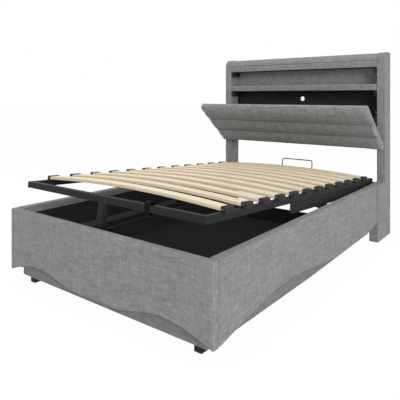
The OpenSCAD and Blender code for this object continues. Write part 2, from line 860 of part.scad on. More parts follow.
// Plate under a side bar, with its nose, its lug for the strut and its round tail at the pivot
module lift_arm() {
    top = pivot_drop;
    low = pivot_drop - arm_depth;
    lug_y = -strut_top_front;
    color(steel_black) lifted() translate([0, y_pivot, z_pivot]) difference() {
        side_plate(arm_x, frame_x) polygon(concat(
            [[-arm_l, top], [-arm_l, low + arm_nose], [-arm_l + arm_nose, low],
            [lug_y - lug_l / 2, low], [lug_y - lug_l / 4, low - lug_h],
            [lug_y + lug_l / 4, low - lug_h], [lug_y + lug_l / 2, low]],
            arc(arm_tail + low, 0, -low, -90, 0),
            [[arm_tail, top]]
        ));
        bar_x(arm_x - cut, frame_x + cut, pivot_r + slide_fit, 0, 0);
    }
}
module lift_arm_right() { lift_arm(); }
module lift_arm_left() { mirror([1, 0, 0]) lift_arm(); }

// The struts' upper pins on the arms' lugs
module strut_studs() {
    color(bright_steel) lifted() both_sides()
        bar_x(strut_x + eye_t / 2 + soft_gap, arm_x, stud_r, y_pivot - strut_top_front, z_pivot - strut_top_drop);
}

// Middle of slat number i along the shut frame
function slat_y(i) = y_frame + slat_first + slat_pitch * (i - 1);

// Points of the bowed slat's face, lifted by dz, from left to right
function slat_line(dz) = concat(
    [[-tip_x, dz]],
    [for (i = [0 : slat_steps]) let (a = -bow_a + 2 * bow_a * i / slat_steps)
        [bow_r * sin(a), dz + bow_r * cos(a) - bow_r * cos(bow_a)]],
    [[tip_x, dz]]
);
function reversed(list) = [for (i = [len(list) - 1 : -1 : 0]) list[i]];

module slat(i) {
    z = frame_top + slat_lift;
    color(beech) lifted() translate([0, 0, z]) front_plate(slat_y(i) - slat_w / 2, slat_y(i) + slat_w / 2)
        polygon(concat(slat_line(slat_t), reversed(slat_line(0))));
}

// One plastic holder on the right side bar, with a pocket for the slat's tip
module slat_holder(i) {
    y = slat_y(i);
    z = frame_top;
    difference() {
        union() {
            block([frame_x - holder_l, y - holder_w / 2, z], [frame_x, y + holder_w / 2, z + holder_h]);
            block([frame_x, y - holder_w / 2, z - holder_hook_h],
                [frame_x + holder_hook_t, y + holder_w / 2, z + holder_h]);
        }
        block([frame_x - holder_l - cut, y - slat_w / 2 - slat_fit, z + slat_lift - slat_fit],
            [tip_x + slat_fit, y + slat_w / 2 + slat_fit, z + slat_lift + slat_t + slat_fit]);
    }
}
module slat_holders() {
    color(plastic_black) lifted() for (i = [1 : slat_count]) slat_holder(i);
}
module slat_holders_right() { slat_holders(); }
module slat_holders_left() { mirror([1, 0, 0]) slat_holders(); }

// Round wire hoop on the rear bar that keeps the mattress in place
module mattress_hoop() {
    r = hoop_d / 2;
    x = hoop_w / 2;
    top = hoop_h - r;
    straight = top - hoop_bend;
    color(steel_black) lifted() translate([hoop_x, y_frame + frame_l - bar / 2, frame_top]) union() {
        both_sides() {
            translate([x, 0, 0]) cylinder(h = straight, r = r);
            translate([x, 0, 0]) cylinder(h = hoop_collar_h, r = hoop_collar_r);
            translate([x - hoop_bend, 0, straight]) rotate([90, 0, 0])
                rotate_extrude(angle = 90) translate([hoop_bend, 0]) circle(r = r);
        }
        bar_x(-x + hoop_bend, x - hoop_bend, r, 0, top);
    }
}

// Side outline of the leg's front flat: down the bar, straight on, then back to the rear flat
module leg_front_side() {
    t = leg_flat_t;
    y_low = bar - t;
    polygon([
        [-t, bar], [-t, -leg_straight_l], [y_low, -leg_h + leg_join_h], [y_low, -leg_h],
        [bar, -leg_h], [bar, -leg_h + leg_join_h], [0, -leg_straight_l], [0, bar]
    ]);
}

// Front outline of the leg's front flat: wide on the bar, narrower and offset below
module leg_front_outline() {
    x0 = leg_x - leg_top_w / 2;
    x1 = leg_x + leg_top_w / 2;
    low = x0 - leg_offset / 2;
    polygon([
        [x0, bar], [x1, bar], [x1, -leg_join_h / 2], [low + leg_low_w, -leg_straight_l + leg_join_h],
        [low + leg_low_w, -leg_h], [low, -leg_h], [low, -leg_straight_l]
    ]);
}

// Leg of two flats that hold the front bar between them and meet over one rubber foot
module centre_leg() {
    low = leg_x - leg_top_w / 2 - leg_offset / 2;
    x1 = leg_x + leg_top_w / 2;
    color(steel_black) lifted() translate([0, y_frame, frame_z]) union() {
        intersection() {
            side_plate(-leg_top_w, 2 * leg_top_w) leg_front_side();
            front_plate(-bar, 2 * bar) leg_front_outline();
        }
        block([low, bar, -leg_h], [low + leg_low_w, bar + leg_flat_t, bar]);
        block([x1, -leg_flat_t, 0], [x1 + leg_strip_w, 0, bar]);
        block([low, bar - leg_flat_t, -leg_h - leg_pad_t],
            [low + leg_low_w, bar - leg_flat_t + leg_pad_d, -leg_h]);
    }
}

// Webbing loop round the front bar, for pulling the platform up
module pull_strap() {
    t = strap_t;
    g = strap_fit;
    x0 = strap_x - strap_w / 2;
    x1 = strap_x + strap_w / 2;
    y0 = y_frame - g - t;
    y1 = y_frame + bar + g + t;
    z0 = frame_z - strap_down;
    z1 = frame_top + strap_up;
    color(plastic_black) lifted() difference() {
        block([x0, y0, z0], [x1, y1, z1]);
        block([x0 - cut, y0 + t, z0 + t], [x1 + cut, y1 - t, z1 - t]);
    }
}

// A place along a gas strut: children are drawn with +Z from the lower pin to the upper pin
module along_strut() {
    translate([strut_x, strut_low_y, strut_low_z]) rotate([strut_angle - 90, 0, 0]) children();
}

module strut_tube() {
    along_strut() difference() {
        union() {
            bar_x(-eye_t / 2, eye_t / 2, eye_r, 0, 0);
            cylinder(h = eye_r + strut_neck, r = strut_rod_r);
            translate([0, 0, eye_r + strut_neck]) cylinder(h = strut_tube_l, r = strut_tube_r);
        }
        bar_x(-eye_t, eye_t, stud_r + slide_fit, 0, 0);
        translate([0, 0, eye_r + strut_neck + strut_gland])
            cylinder(h = strut_tube_l - 2 * strut_gland, r = strut_tube_r - strut_wall);
        translate([0, 0, eye_r + strut_neck + strut_gland])
            cylinder(h = strut_tube_l, r = strut_rod_r + slide_fit);
    }
}
module strut_tubes() { color(steel_black) both_sides() strut_tube(); }

module strut_rod() {
    z0 = eye_r + strut_neck + strut_tube_l * (1 - rod_in_share);
    along_strut() union() {
        translate([0, 0, z0]) cylinder(h = strut_l - z0, r = strut_rod_r);
        translate([0, 0, z0]) cylinder(h = piston_l, r = strut_tube_r - strut_wall - slide_fit);
        translate([0, 0, strut_l]) bar_x(-eye_t / 2, eye_t / 2, eye_r, 0, 0);
    }
}
module strut_rods() { color(bright_steel) both_sides() strut_rod(); }

// The flap's board, drawn shut with its hinge axis at the origin
module flap_board() {
    x = flap_x - flap_board_inset;
    color(black_board) flap_opened() {
        block([-x, -flap_board_t, flap_seat], [x, 0, flap_seat + flap_l - flap_board_inset]);
        both_sides() stay_bracket();
    }
}

// Steel ear behind the flap's board, with the stay's upper pin
module stay_bracket() {
    x0 = stay_x - stay_eye_t / 2 - soft_gap;
    w = stay_bracket_w / 2;
    union() {
        block([x0 - 2 * stay_bracket_t, 0, stay_flap_up - w], [x0 - stay_bracket_t, stay_flap_off, stay_flap_up + w]);
        bar_x(x0 - 2 * stay_bracket_t, x0 - stay_bracket_t, w, stay_flap_off, stay_flap_up);
        bar_x(x0 - stay_bracket_t, x0, stay_pin_r, stay_flap_off, stay_flap_up);
    }
}

// Share up the flap of seam number k, and its inverse
function seam_at(k) = k < flap_channels ? k * (1 - flap_top_share) / (flap_channels - 1) : 1;
function channel_at(v) = v < 1 - flap_top_share ? v / (1 - flap_top_share) * (flap_channels - 1)
    : flap_channels - 1 + (v - 1 + flap_top_share) / flap_top_share;

// Thickness of the flap's padding at shares u across and v up the flap
function roll(t, sharp) = pow(max(0, 1 - pow(abs(2 * t - 1), sharp)), 0.45);
function pad_depth(u, v) =
    let (c = channel_at(v), f = c - floor(c), outer = roll(u, 60) * roll(v, 22))
    let (puff = pow(max(0, sin(180 * f)), 0.35))
    flap_edge_t + (pad_t - flap_edge_t - flap_seam_depth * (1 - puff) * roll(v, 60)) * outer;

// Shares of one channel, and of the flap's width, at which the padding's surface has points
channel_shares = [0, 0.04, 0.12, 0.28, 0.5, 0.72, 0.88, 0.96];
width_shares = [0, 0.003, 0.01, 0.025, 0.06, 0.2, 0.35, 0.5, 0.65, 0.8, 0.94, 0.975, 0.99, 0.997, 1];

// Padded cover of the flap as a closed grid, drawn shut with the hinge axis at the origin
module flap_pad() {
    vs = concat([for (k = [0 : flap_channels - 1]) for (s = channel_shares)
        seam_at(k) + s * (seam_at(k + 1) - seam_at(k))], [1]);
    nu = len(width_shares);
    nv = len(vs);
    n = nu * nv;
    front = [for (v = vs) for (u = width_shares)
        [(2 * u - 1) * flap_x, -flap_board_t - pad_depth(u, v), flap_seat + v * flap_l]];
    back = [for (v = vs) for (u = width_shares)
        [(2 * u - 1) * flap_x, -flap_board_t, flap_seat + v * flap_l]];
    cells = [for (j = [0 : nv - 2]) for (i = [0 : nu - 2]) j * nu + i];
    front_faces = [for (k = cells) for (f = [[k, k + nu, k + 1], [k + 1, k + nu, k + nu + 1]]) f];
    back_faces = [for (k = cells) for (f = [[k, k + 1, k + nu], [k + 1, k + nu + 1, k + nu]]) f + [n, n, n]];
    rows = [for (i = [0 : nu - 2]) for (f = [
        [i, i + 1, i + n], [i + 1, i + 1 + n, i + n],
        [n - nu + i, 2 * n - nu + i, n - nu + i + 1],
        [n - nu + i + 1, 2 * n - nu + i, 2 * n - nu + i + 1]]) f];
    cols = [for (j = [0 : nv - 2]) let (a = j * nu, b = j * nu + nu - 1) for (f = [
        [a, a + n, a + nu], [a + nu, a + n, a + nu + n],
        [b, b + nu, b + n], [b + nu, b + nu + n, b + n]]) f];
    color(fabric) flap_opened()
        polyhedron(concat(front, back), concat(front_faces, back_faces, rows, cols), convexity = 6);
}

// A place along a stay: children are drawn with +Z from the post's pin to the flap's pin
module along_stay() {
    translate([stay_x, stay_y, stay_z]) rotate([stay_angle - 90, 0, 0]) children();
}

module stay_tube() {
    along_stay() difference() {
        union() {
            bar_x(-stay_eye_t / 2, stay_eye_t / 2, stay_eye_r, 0, 0);
            cylinder(h = stay_eye_r + stay_neck + stay_wall, r = stay_rod_r);
            translate([0, 0, stay_eye_r + stay_neck])
                cylinder(h = stay_tube_l - stay_eye_r - stay_neck, r = stay_tube_r);
        }
        bar_x(-stay_eye_t, stay_eye_t, stay_pin_r + slide_fit, 0, 0);
        translate([0, 0, 2 * stay_eye_r]) cylinder(h = stay_tube_l, r = stay_rod_r + slide_fit);
    }
}
module stay_tubes() { color(steel_black) both_sides() stay_tube(); }

module stay_rod() {
    z0 = 2 * stay_eye_r + stay_l - stay_closed_l + stay_wall;
    along_stay() union() {
        translate([0, 0, z0]) cylinder(h = stay_l - z0, r = stay_rod_r);
        translate([0, 0, stay_l]) bar_x(-stay_eye_t / 2, stay_eye_t / 2, stay_eye_r, 0, 0);
    }
}
module stay_rods() { color(bright_steel) both_sides() stay_rod(); }

// Length of the stay between its pins with the flap shut
stay_closed_dy = stay_flap_off - stay_pin_back;
stay_closed_dz = stay_flap_up - stay_pin_up;
stay_closed_l = sqrt(stay_closed_dy * stay_closed_dy + stay_closed_dz * stay_closed_dz);
stay_tube_l = stay_closed_l - stay_end_room;

footboard();
side_rail_left();
side_rail_right();
box_linings();
plinth_front();
plinth_sides();
storage_floor_foot();
storage_floor_head();
floor_bearers();
end_board();
block_feet();
rail_stiffener_left();
rail_stiffener_right();
post_left();
post_right();
top_rail();
shelf();
compartment_floor();
board_cleats();
shelf_back();
compartment_back();
cable_grommet();
stretcher();
lift_bracket_left();
lift_bracket_right();
pivot_pins();
base_bolts();
flap_hinge_fixed();
stay_pins();
side_bar_left();
side_bar_right();
front_bar();
rear_bar();
lift_arm_left();
lift_arm_right();
strut_studs();
for (i = [1 : slat_count]) slat(i);
slat_holders_left();
slat_holders_right();
mattress_hoop();
centre_leg();
pull_strap();
strut_tubes();
strut_rods();
flap_board();
flap_pad();
flap_hinge_moving();
stay_tubes();
stay_rods();
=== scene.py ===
"""Dresses a lift-up storage bed: upholstery, padded flap, slats, steelwork and a studio stage.

All lengths are metres in the bed's own frame: origin on the floor under its middle,
+X to its right side seen from the foot end, +Y to the headboard, +Z up.
"""

import json
import math

import bmesh
import bpy
import numpy as np
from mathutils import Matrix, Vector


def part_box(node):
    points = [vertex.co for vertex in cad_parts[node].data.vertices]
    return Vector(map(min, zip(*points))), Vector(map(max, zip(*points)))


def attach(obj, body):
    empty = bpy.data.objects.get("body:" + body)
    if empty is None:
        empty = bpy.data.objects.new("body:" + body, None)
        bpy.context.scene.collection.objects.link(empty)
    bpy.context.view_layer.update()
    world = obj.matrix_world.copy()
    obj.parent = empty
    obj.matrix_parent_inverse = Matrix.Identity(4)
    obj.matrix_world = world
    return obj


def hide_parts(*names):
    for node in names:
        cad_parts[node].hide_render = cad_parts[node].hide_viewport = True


bl_info = {
    "name": "Storage bed dresser",
    "version": (1, 0, 0),
    "blender": (4, 5, 0),
    "location": "View3D > Sidebar > Bed",
    "description": "Upholsters and finishes a lift-up storage bed around its fixed parts",
    "category": "Object",
}

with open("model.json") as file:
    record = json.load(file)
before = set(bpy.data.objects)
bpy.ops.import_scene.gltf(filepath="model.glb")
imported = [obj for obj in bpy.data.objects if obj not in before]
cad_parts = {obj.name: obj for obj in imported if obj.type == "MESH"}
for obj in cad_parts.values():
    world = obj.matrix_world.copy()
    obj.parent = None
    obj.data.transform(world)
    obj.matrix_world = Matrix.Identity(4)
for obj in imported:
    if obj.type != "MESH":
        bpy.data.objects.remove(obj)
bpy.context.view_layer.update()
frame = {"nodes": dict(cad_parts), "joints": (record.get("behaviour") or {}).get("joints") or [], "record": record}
JOINTS = {joint["name"]: joint for joint in frame["joints"]}
QUARTER = np.pi / 2
SHARP = 0.0004  # least radius of a rounded edge

# Names of the map and of the vertex numbers that the materials read
CLOTH_UV = "Cloth"
# The first two mark painted shade: the flap's seam creases and the plinth's inner and upper faces, and the bars'
# top faces. The third marks the slats' ply edges.
SHADE_MARKED, TOP_FACE_SHADE, EDGE = "seam", "upper", "edge"


def length(name, default, description):
    """A property for one length in metres."""
    return bpy.props.FloatProperty(
        name=name, description=description, default=default, unit="LENGTH", precision=4
    )


def amount(name, default, least, description):
    """A property for a number of like pieces."""
    return bpy.props.IntProperty(name=name, description=description, default=default, min=least)


def tint(name, red, green, blue, description):
    """A property for one colour, given as 8-bit screen values."""
    return bpy.props.FloatVectorProperty(
        name=name,
        description=description,
        subtype="COLOR",
        size=3,
        min=0,
        max=1,
        default=tuple(to_linear(c / 255) for c in (red, green, blue)),
    )


def to_linear(value):
    """Linear light of a screen value between 0 and 1."""
    return value / 12.92 if value <= 0.04045 else ((value + 0.055) / 1.055) ** 2.4


class BedSizes(bpy.types.PropertyGroup):
    """Lengths of the upholstered base and headboard"""

    half_length: length("Half length", 1.068, "From the middle to the footboard's face")
    rail_half: length("Rail half width", 0.735, "From the middle to a side rail's face")
    rail_top: length("Rail height", 0.409, "Height of the rails and footboard")
    rail_thick: length("Rail thickness", 0.052, "Thickness of a side rail")
    foot_thick: length("Footboard thickness", 0.036, "Thickness of the footboard")
    corner_drop: length("Skirt corner", 0.065, "Height of the skirt's points at the corners")
    foot_arch: length("Foot arch", 0.126, "Height of the footboard skirt's two arches")
    foot_dip: length("Foot dip", 0.078, "Height of the footboard skirt's middle dip")
    side_arch: length("Side arch", 0.154, "Height of a side skirt's arch")
    side_dip: length("Side dip", 0.107, "Height of a side skirt's long dip")
    side_end: length("Side end", 0.142, "Height of a side skirt at the headboard leg")
    leg_depth: length("Leg depth", 0.281, "Depth of a headboard leg")
    plinth_rise: length("Plinth rise", 0.020, "Rise of a side plinth's lower edge to the rear")
    post_depth: length("Post depth", 0.117, "Depth of a headboard post")
    post_half: length("Post half width", 0.7425, "From the middle to a post's outer face")
    post_thick: length("Post thickness", 0.066, "Thickness of a post")
    post_top: length("Post height", 1.374, "Height of the posts")
    post_round: length("Top rounding", 0.060, "Radius of the headboard's upper front edge")
    roll_seam: length("Roll seam", 1.309, "Height of the seam under the top rail's roll")
    roll_groove: length("Roll groove", 0.006, "Depth of the seam under the top rail's roll")
    edge_round: length("Edge rounding", 0.006, "Radius of the upholstery's edges")
    skirt_round: length("Skirt rounding", 0.003, "Radius of the skirts' lower edges")


class PlatformSizes(bpy.types.PropertyGroup):
    """Lengths of the lift-up platform, given as it lies shut"""

    half_width: length("Half width", 0.658, "From the middle to a side bar's face")
    front: length("Front end", -1.0228, "Place of the front bar's face")
    back: length("Back end", 0.9122, "Place of the side bars' rear ends")
    low: length("Bars' underside", 0.411, "Height of the bars' undersides")
    bar: length("Bar", 0.033, "Side of the square steel bars")
    bar_round: length("Bar rounding", 0.003, "Radius of the bars' long edges")
    nose_round: length("Nose rounding", 0.012, "Radius of a side bar's outer front edge")
    first_slat: length("First slat", 0.156, "From the front end to the first slat's middle")
    last_slat: length("Last slat", 0.151, "From the last slat's middle to the back end")
    slat_wide: length("Slat width", 0.064, "Width of a slat")
    slat_thick: length("Slat thickness", 0.018, "Thickness of a slat")
    slat_lift: length("Slat lift", 0.002, "Height of a slat's tips above the bars")
    slat_bow: length("Slat bow", 0.024, "Upward bow of a slat's middle")
    slat_tip: length("Slat tip", 0.024, "Length of a slat's tip inside its holder")
    ply: length("Ply", 0.0034, "Thickness of two veneers in a slat's edge")
    holder_long: length("Holder length", 0.032, "Length of a slat holder across the bed")
    holder_wide: length("Holder width", 0.068, "Width of a slat holder along the bed")
    holder_high: length("Holder height", 0.0235, "Height of a slat holder")
    hook_low: length("Hook drop", 0.007, "How far a holder's hook reaches down outside the bar")
    hook_thick: length("Hook thickness", 0.003, "Thickness of a holder's hook")
    leg_middle: length("Leg middle", 0.008, "Middle of the centre leg's wide part, across the bed")
    leg_wide: length("Leg top width", 0.050, "Width of the leg's front flat on the bar")
    leg_narrow: length("Leg low width", 0.034, "Width of the leg's flats below the bar")
    leg_shift: length("Leg shift", 0.010, "How far the flats stand off the wide part's edge")
    leg_flat: length("Leg flat", 0.003, "Thickness of the leg's flats")
    leg_straight: length("Leg straight", 0.100, "Straight length of the front flat below the bar")
    leg_joined: length("Leg joined", 0.020, "Length over which the two flats lie together")
    # The strip is a black piece that paints the shade line beside the leg.
    gap_shade_wide: length("Strip width", 0.014, "Width of the rubber strip beside the leg")
    boot_high: length("Boot height", 0.006, "Thickness of the leg's rubber boot under the flats")
    boot_deep: length("Boot depth", 0.014, "Depth of the leg's rubber boot")
    slats: amount("Slats", 12, 2, "Number of slats")


class FlapSizes(bpy.types.PropertyGroup):
    """Lengths of the headboard's padded flap"""

    half_width: length("Half width", 0.735, "From the middle to the flap's end")
    long: length("Length", 0.458, "From the hinge edge to the lip")
    board: length("Board", 0.012, "Thickness of the board behind the padding")
    board_inset: length("Board inset", 0.006, "How far the board stays inside the cover")
    seat: length("Seat", 0.004, "From the hinge axis to the flap's lower edge")
    pad: length("Padding", 0.034, "Thickness of the padding at a channel's crown, before it swells")
    pad_edge: length("Padding edge", 0.020, "Thickness of the padding at its border")
    seam_depth: length("Seam depth", 0.014, "Depth of the sewn seams")
    lip_round: length("Lip rounding", 0.045, "How far the padding thins out towards the lip")
    end_round: length("End rounding", 0.016, "How far the padding thins out at its other borders")
    corner: length("Corner", 0.016, "Radius of the lip's two corners")
    hem: length("Hem", 0.020, "Width of the fabric turned over the board's back")
    cover: length("Cover", 0.0008, "Thickness of the cover where it is turned over")
    lip_share: bpy.props.FloatProperty(
        name="Lip channel",
        description="Share of the flap's length in the channel at its lip",
        subtype="FACTOR",
        min=0,
        max=1,
        default=0.366,
    )
    channels: amount("Channels", 3, 1, "Number of channels")


class Finishes(bpy.types.PropertyGroup):
    """Colours of the bed's materials"""

    fabric: tint("Fabric", 142, 142, 142, "Grey upholstery weave")
    flap: tint("Flap fabric", 146, 147, 148, "Weave of the flap")
    # A little darker than the upholstery fabric: painted shade of the recess under the skirt.
    plinth: tint("Plinth", 133, 133, 134, "Weave on the recessed plinth")
    black_board: tint("Black board", 46, 46, 47, "Black faced boards")
    floor_cloth: tint("Floor cloth", 42, 42, 43, "Cloth on the storage floor")
    steel: tint("Dark steel", 42, 42, 43, "Powder coat of the platform")
    grey_steel: tint("Grey steel", 80, 80, 82, "Coat of brackets and stiffeners")
    zinc: tint("Zinc", 196, 197, 199, "Plated pins")
    chrome: tint("Chrome", 220, 221, 223, "Polished rods")
    beech: tint("Beech", 252, 238, 208, "Light wood of the slats")
    beech_dark: tint("Beech grain", 238, 216, 178, "Grain lines of the slats")
    ply_light: tint("Ply", 250, 233, 202, "Light veneers in the slats' edges")
    ply_dark: tint("Ply line", 236, 213, 176, "Dark veneers in the slats' edges")
    pine: tint("Bearer wood", 196, 168, 122, "Sawn wood of the bearers")
    plastic: tint("Plastic", 48, 47, 50, "Slat holders, feet and grommet")
    webbing: tint("Webbing", 18, 19, 15, "Pull strap")


# Shapes


def rounded_ring(a0, a1, b0, b1, radius, sides, corner=5):
    """Rounded rectangles, one per station: four quarter circles joined by straight sides.

    a0, a1, b0, b1 and radius are arrays over the stations; radius may have a row for each corner,
    first the two upper ones. sides is the number of points inside the top, left, bottom and right
    side. Returns (stations, points, 2).
    """
    turns = np.linspace(0, QUARTER, corner)
    corners = []
    for k, r in enumerate(np.broadcast_to(radius, (4, len(a0)))):
        angle = turns + k * QUARTER
        ca = a1 - r if k in (0, 3) else a0 + r
        cb = b1 - r if k < 2 else b0 + r
        a = ca[:, None] + r[:, None] * np.cos(angle)
        b = cb[:, None] + r[:, None] * np.sin(angle)
        corners.append(np.stack([a, b], axis=-1))
    parts = []
    for k, steps in enumerate(sides):
        start, stop = corners[k][:, -1:], corners[(k + 1) % 4][:, :1]
        share = (np.arange(1, steps + 1) / (steps + 1))[None, :, None]
        parts += [corners[k], start + (stop - start) * share]
    return np.concatenate(parts, axis=1)


def rounded_stations(start, stop, radius, middle):
    """Places along an axis and the inset at each: a quarter circle at both ends, none between."""
    turn = np.linspace(0, QUARTER, 6)
    near, shrink = radius * (1 - np.cos(turn)), radius * (1 - np.sin(turn))
    inner = np.linspace(start + radius, stop - radius, middle + 2)[1:-1]
    places = np.concatenate([start + near, inner, (stop - near)[::-1]])
    insets = np.concatenate([shrink, np.zeros(middle), shrink[::-1]])
    return places, insets


def run_along(line):
    """Distance along a closed line at each of its points and, last, once round."""
    steps = np.linalg.norm(np.roll(line, -1, axis=0) - line, axis=1)
    return np.concatenate([[0], np.cumsum(steps)])


def filleted(corners, radii, steps=8, spacing=0.03):
    """A closed outline: each corner is a circular arc tangent to its two straight sides.

    Straight stretches get a point at least every spacing.
    """
    corners = np.array(corners, float)
    points = []
    for k, radius in enumerate(radii):
        to_last = corners[k - 1] - corners[k]
        to_next = corners[(k + 1) % len(corners)] - corners[k]
        to_last /= np.linalg.norm(to_last)
        to_next /= np.linalg.norm(to_next)
        half = math.acos(float(to_last @ to_next)) / 2
        reach = radius / math.tan(half)
        bisector = (to_last + to_next) / np.linalg.norm(to_last + to_next)
        centre = corners[k] + bisector * radius / math.sin(half)
        first = corners[k] + to_last * reach - centre
        last = corners[k] + to_next * reach - centre
        turn = math.pi - 2 * half
        share = np.linspace(0, 1, steps)[:, None]
        arc = (np.sin((1 - share) * turn) * first + np.sin(share * turn) * last) / math.sin(turn)
        points.append(centre + arc)
    ring = np.concatenate(points)
    closed = np.concatenate([ring, ring[:1]])
    run = run_along(ring)
    extra = np.arange(0, run[-1], spacing)
    extra = extra[np.abs(extra[:, None] - run[None, :]).min(axis=1) > spacing / 4]
    places = np.sort(np.concatenate([run[:-1], extra]))
    return np.stack([np.interp(places, run, side) for side in closed.T], axis=1)


def normals(ring):
    """Unit vectors to the right of a closed outline, square to the line past each point."""
    along = np.roll(ring, -1, axis=0) - np.roll(ring, 1, axis=0)
    along /= np.linalg.norm(along, axis=1)[:, None]
    return np.stack([along[:, 1], -along[:, 0]], axis=1)


def inset_outline(ring, inset):
    """The outline moved inwards by inset along its normals; its area's sign tells its sense."""
    onward = np.roll(ring, -1, axis=0)
    area = np.sum(ring[:, 0] * onward[:, 1] - ring[:, 1] * onward[:, 0]) / 2
    return ring - normals(ring) * inset * np.sign(area)


def ripple(points, size=0.11):
    """Soft unevenness between -1 and 1: three sines of the place, in different directions."""
    x, y, z = points[..., 0] / size, points[..., 1] / size, points[..., 2] / size
    first = np.sin(1.7 * x + 0.6 * y + 1.1 * z)
    second = np.sin(0.8 * x - 2.1 * y + 1.9 * z + 1.3)
    third = np.sin(2.9 * x + 1.2 * y - 0.7 * z + 2.6)
    return (first + second + third) / 3


def place_axes(ring, places, along):
    """Puts rings (stations, points, 2) in space, with their stations along one axis."""
    spread = np.broadcast_to(places[:, None], ring.shape[:2])
    parts = [ring[..., 0], ring[..., 1]]
    parts.insert(along, spread)
    return np.stack(parts, axis=-1)


def loft(name, rings, smooth_angle=40, closed=False):
    """A surface through rings (stations, points, 3), capped at both ends or closed on itself.

    Its cloth map is in metres: u runs along the stations and v round the ring, and a cap is
    mapped by its two widest axes.
    """
    stations, points = rings.shape[:2]
    rows = stations if closed else stations - 1
    index = np.arange(stations * points).reshape(stations, points)
    near, far = index[:rows], np.roll(index, -1, axis=0)[:rows]
    quads = np.stack([near, np.roll(near, -1, 1), np.roll(far, -1, 1), far], axis=-1)
    faces = quads.reshape(-1, 4).tolist()
    u, v = run_along(rings.mean(axis=1)), run_along(rings[stations // 2])
    row, column = np.meshgrid(np.arange(rows), np.arange(points), indexing="ij")
    uv = np.stack([
        np.stack([u[row + ahead], v[column + beside]], -1)
        for ahead, beside in ((0, 0), (0, 1), (1, 1), (1, 0))
    ], axis=2).reshape(-1, 2)
    if not closed:
        for cap in (index[0], index[-1][::-1]):
            faces.append(cap.tolist())
            corners = rings.reshape(-1, 3)[cap]
            wide = np.sort(np.argsort(np.ptp(corners, axis=0))[1:])
            uv = np.concatenate([uv, corners[:, wide]])
    mesh = bpy.data.meshes.new(name)
    mesh.from_pydata(rings.reshape(-1, 3), [], faces)
    layer = mesh.uv_layers.new(name=CLOTH_UV)
    layer.data.foreach_set("uv", uv.astype(np.float32).ravel())
    return finished(name, mesh, smooth_angle)


def finished(name, mesh, smooth_angle=40):
    """An object of this mesh in the scene, its faces outwards and smooth up to an angle."""
    work = bmesh.new()
    work.from_mesh(mesh)
    bmesh.ops.recalc_face_normals(work, faces=work.faces)
    work.to_mesh(mesh)
    work.free()
    mesh.polygons.foreach_set("use_smooth", np.ones(len(mesh.polygons), bool))
    mesh.set_sharp_from_angle(angle=math.radians(smooth_angle))
    piece = bpy.data.objects.new(name, mesh)
    bpy.context.scene.collection.objects.link(piece)
    return piece


def vertices(mesh):
    """Places of a mesh's vertices."""
    places = np.empty(len(mesh.vertices) * 3, np.float32)
    mesh.vertices.foreach_get("co", places)
    return places.reshape(-1, 3)


def move_vertices(mesh, places):
    """Moves a mesh's vertices to new places."""
    mesh.vertices.foreach_set("co", places.astype(np.float32).ravel())
    mesh.update()


def marked(piece, name, values):
    """Stores a number at each vertex, for a material to read."""
    attribute = piece.data.attributes.new(name, "FLOAT", "POINT")
    attribute.data.foreach_set("value", np.asarray(values, np.float32).ravel())
    return piece


def joined(name, pieces):
    """One object of several, with all their faces and maps."""
    with bpy.context.temp_override(active_object=pieces[0], selected_editable_objects=pieces):
        bpy.ops.object.join()
    pieces[0].name = name
    return pieces[0]


def board(name, along, start, stop, sides_at, radius, steps, middle, lower=None, swell=0.0):
    """A rounded board: at each place along one axis a rounded rectangle, smaller at the two ends.

    sides_at gives the rectangle's four sides at the places, and steps the points inside them.
    lower is the radius of the two lower edges, where it differs. swell lifts the faces by a ripple.
    """
    places, insets = rounded_stations(start, stop, radius, middle)
    a0, a1, b0, b1 = (side + np.zeros_like(places) for side in sides_at(places))
    lower = radius if lower is None else lower
    radii = np.array([radius, radius, lower, lower])[:, None] - insets
    radii = np.maximum(radii, 0.0003)
    ring = rounded_ring(a0 + insets, a1 - insets, b0 + insets, b1 - insets, radii, steps)
    rings = place_axes(ring, places, along)
    if swell:
        outward = rings - rings.mean(axis=1, keepdims=True)
        outward[..., along] = 0
        outward /= np.maximum(np.linalg.norm(outward, axis=-1, keepdims=True), 1e-9)
        rings = rings + outward * (swell * ripple(rings))[..., None]
    return loft(name, rings)


def boxed(name, node, radius, steps, middle):
    """A rounded board across the bed that fills a node's box."""
    low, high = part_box(node)
    sides = (low.y, high.y, low.z, high.z)
    return board(name, 0, low.x, high.x, lambda x: sides, radius, steps, middle)


def extruded(name, outline, x0, x1, radius, middle=3):
    """A y-z outline carried from x0 to x1, drawn in round both ends."""
    places, insets = rounded_stations(x0, x1, radius, middle)
    rings = np.stack([inset_outline(outline, inset) for inset in insets])
    return loft(name, place_axes(rings, places, 0))


def mirrored(name, piece):
    """A copy of a piece mirrored to the bed's left side, with its faces turned back outwards."""
    mesh = piece.data.copy()
    move_vertices(mesh, vertices(mesh) * (-1, 1, 1))
    return finished(name, mesh)


def turned(points, joint, degrees):
    """Points turned about a hinge's axis line by an angle, by the right-hand rule."""
    pivot, axis = np.array(joint["pos_m"]), np.array(joint["axis"], float)
    angle = math.radians(degrees)
    arm = points - pivot
    across = np.cross(axis, arm)
    along = (arm @ axis)[..., None] * axis
    return pivot + along + (arm - along) * math.cos(angle) + across * math.sin(angle)


def lifted(points):
    """Points of the shut platform, turned to the stored open place."""
    joint = JOINTS["platform_lift"]
    return turned(points, joint, -joint["range_deg"][0])


def opened(points):
    """Points of the upright flap about its hinge, moved to the stored open place."""
    joint = JOINTS["flap_tilt"]
    return turned(points + np.array(joint["pos_m"]), joint, -joint["range_deg"][0])


# Materials

WHITE = (1, 1, 1, 1)
WAVE_PITCH = 0.314  # metres between a wave texture's bands at scale 1

# Length and width of the weave's slubs: across and down, each in a small and a large size
SLUBS = ((0.030, 0.0055), (0.006, 0.026), (0.075, 0.014), (0.012, 0.060))


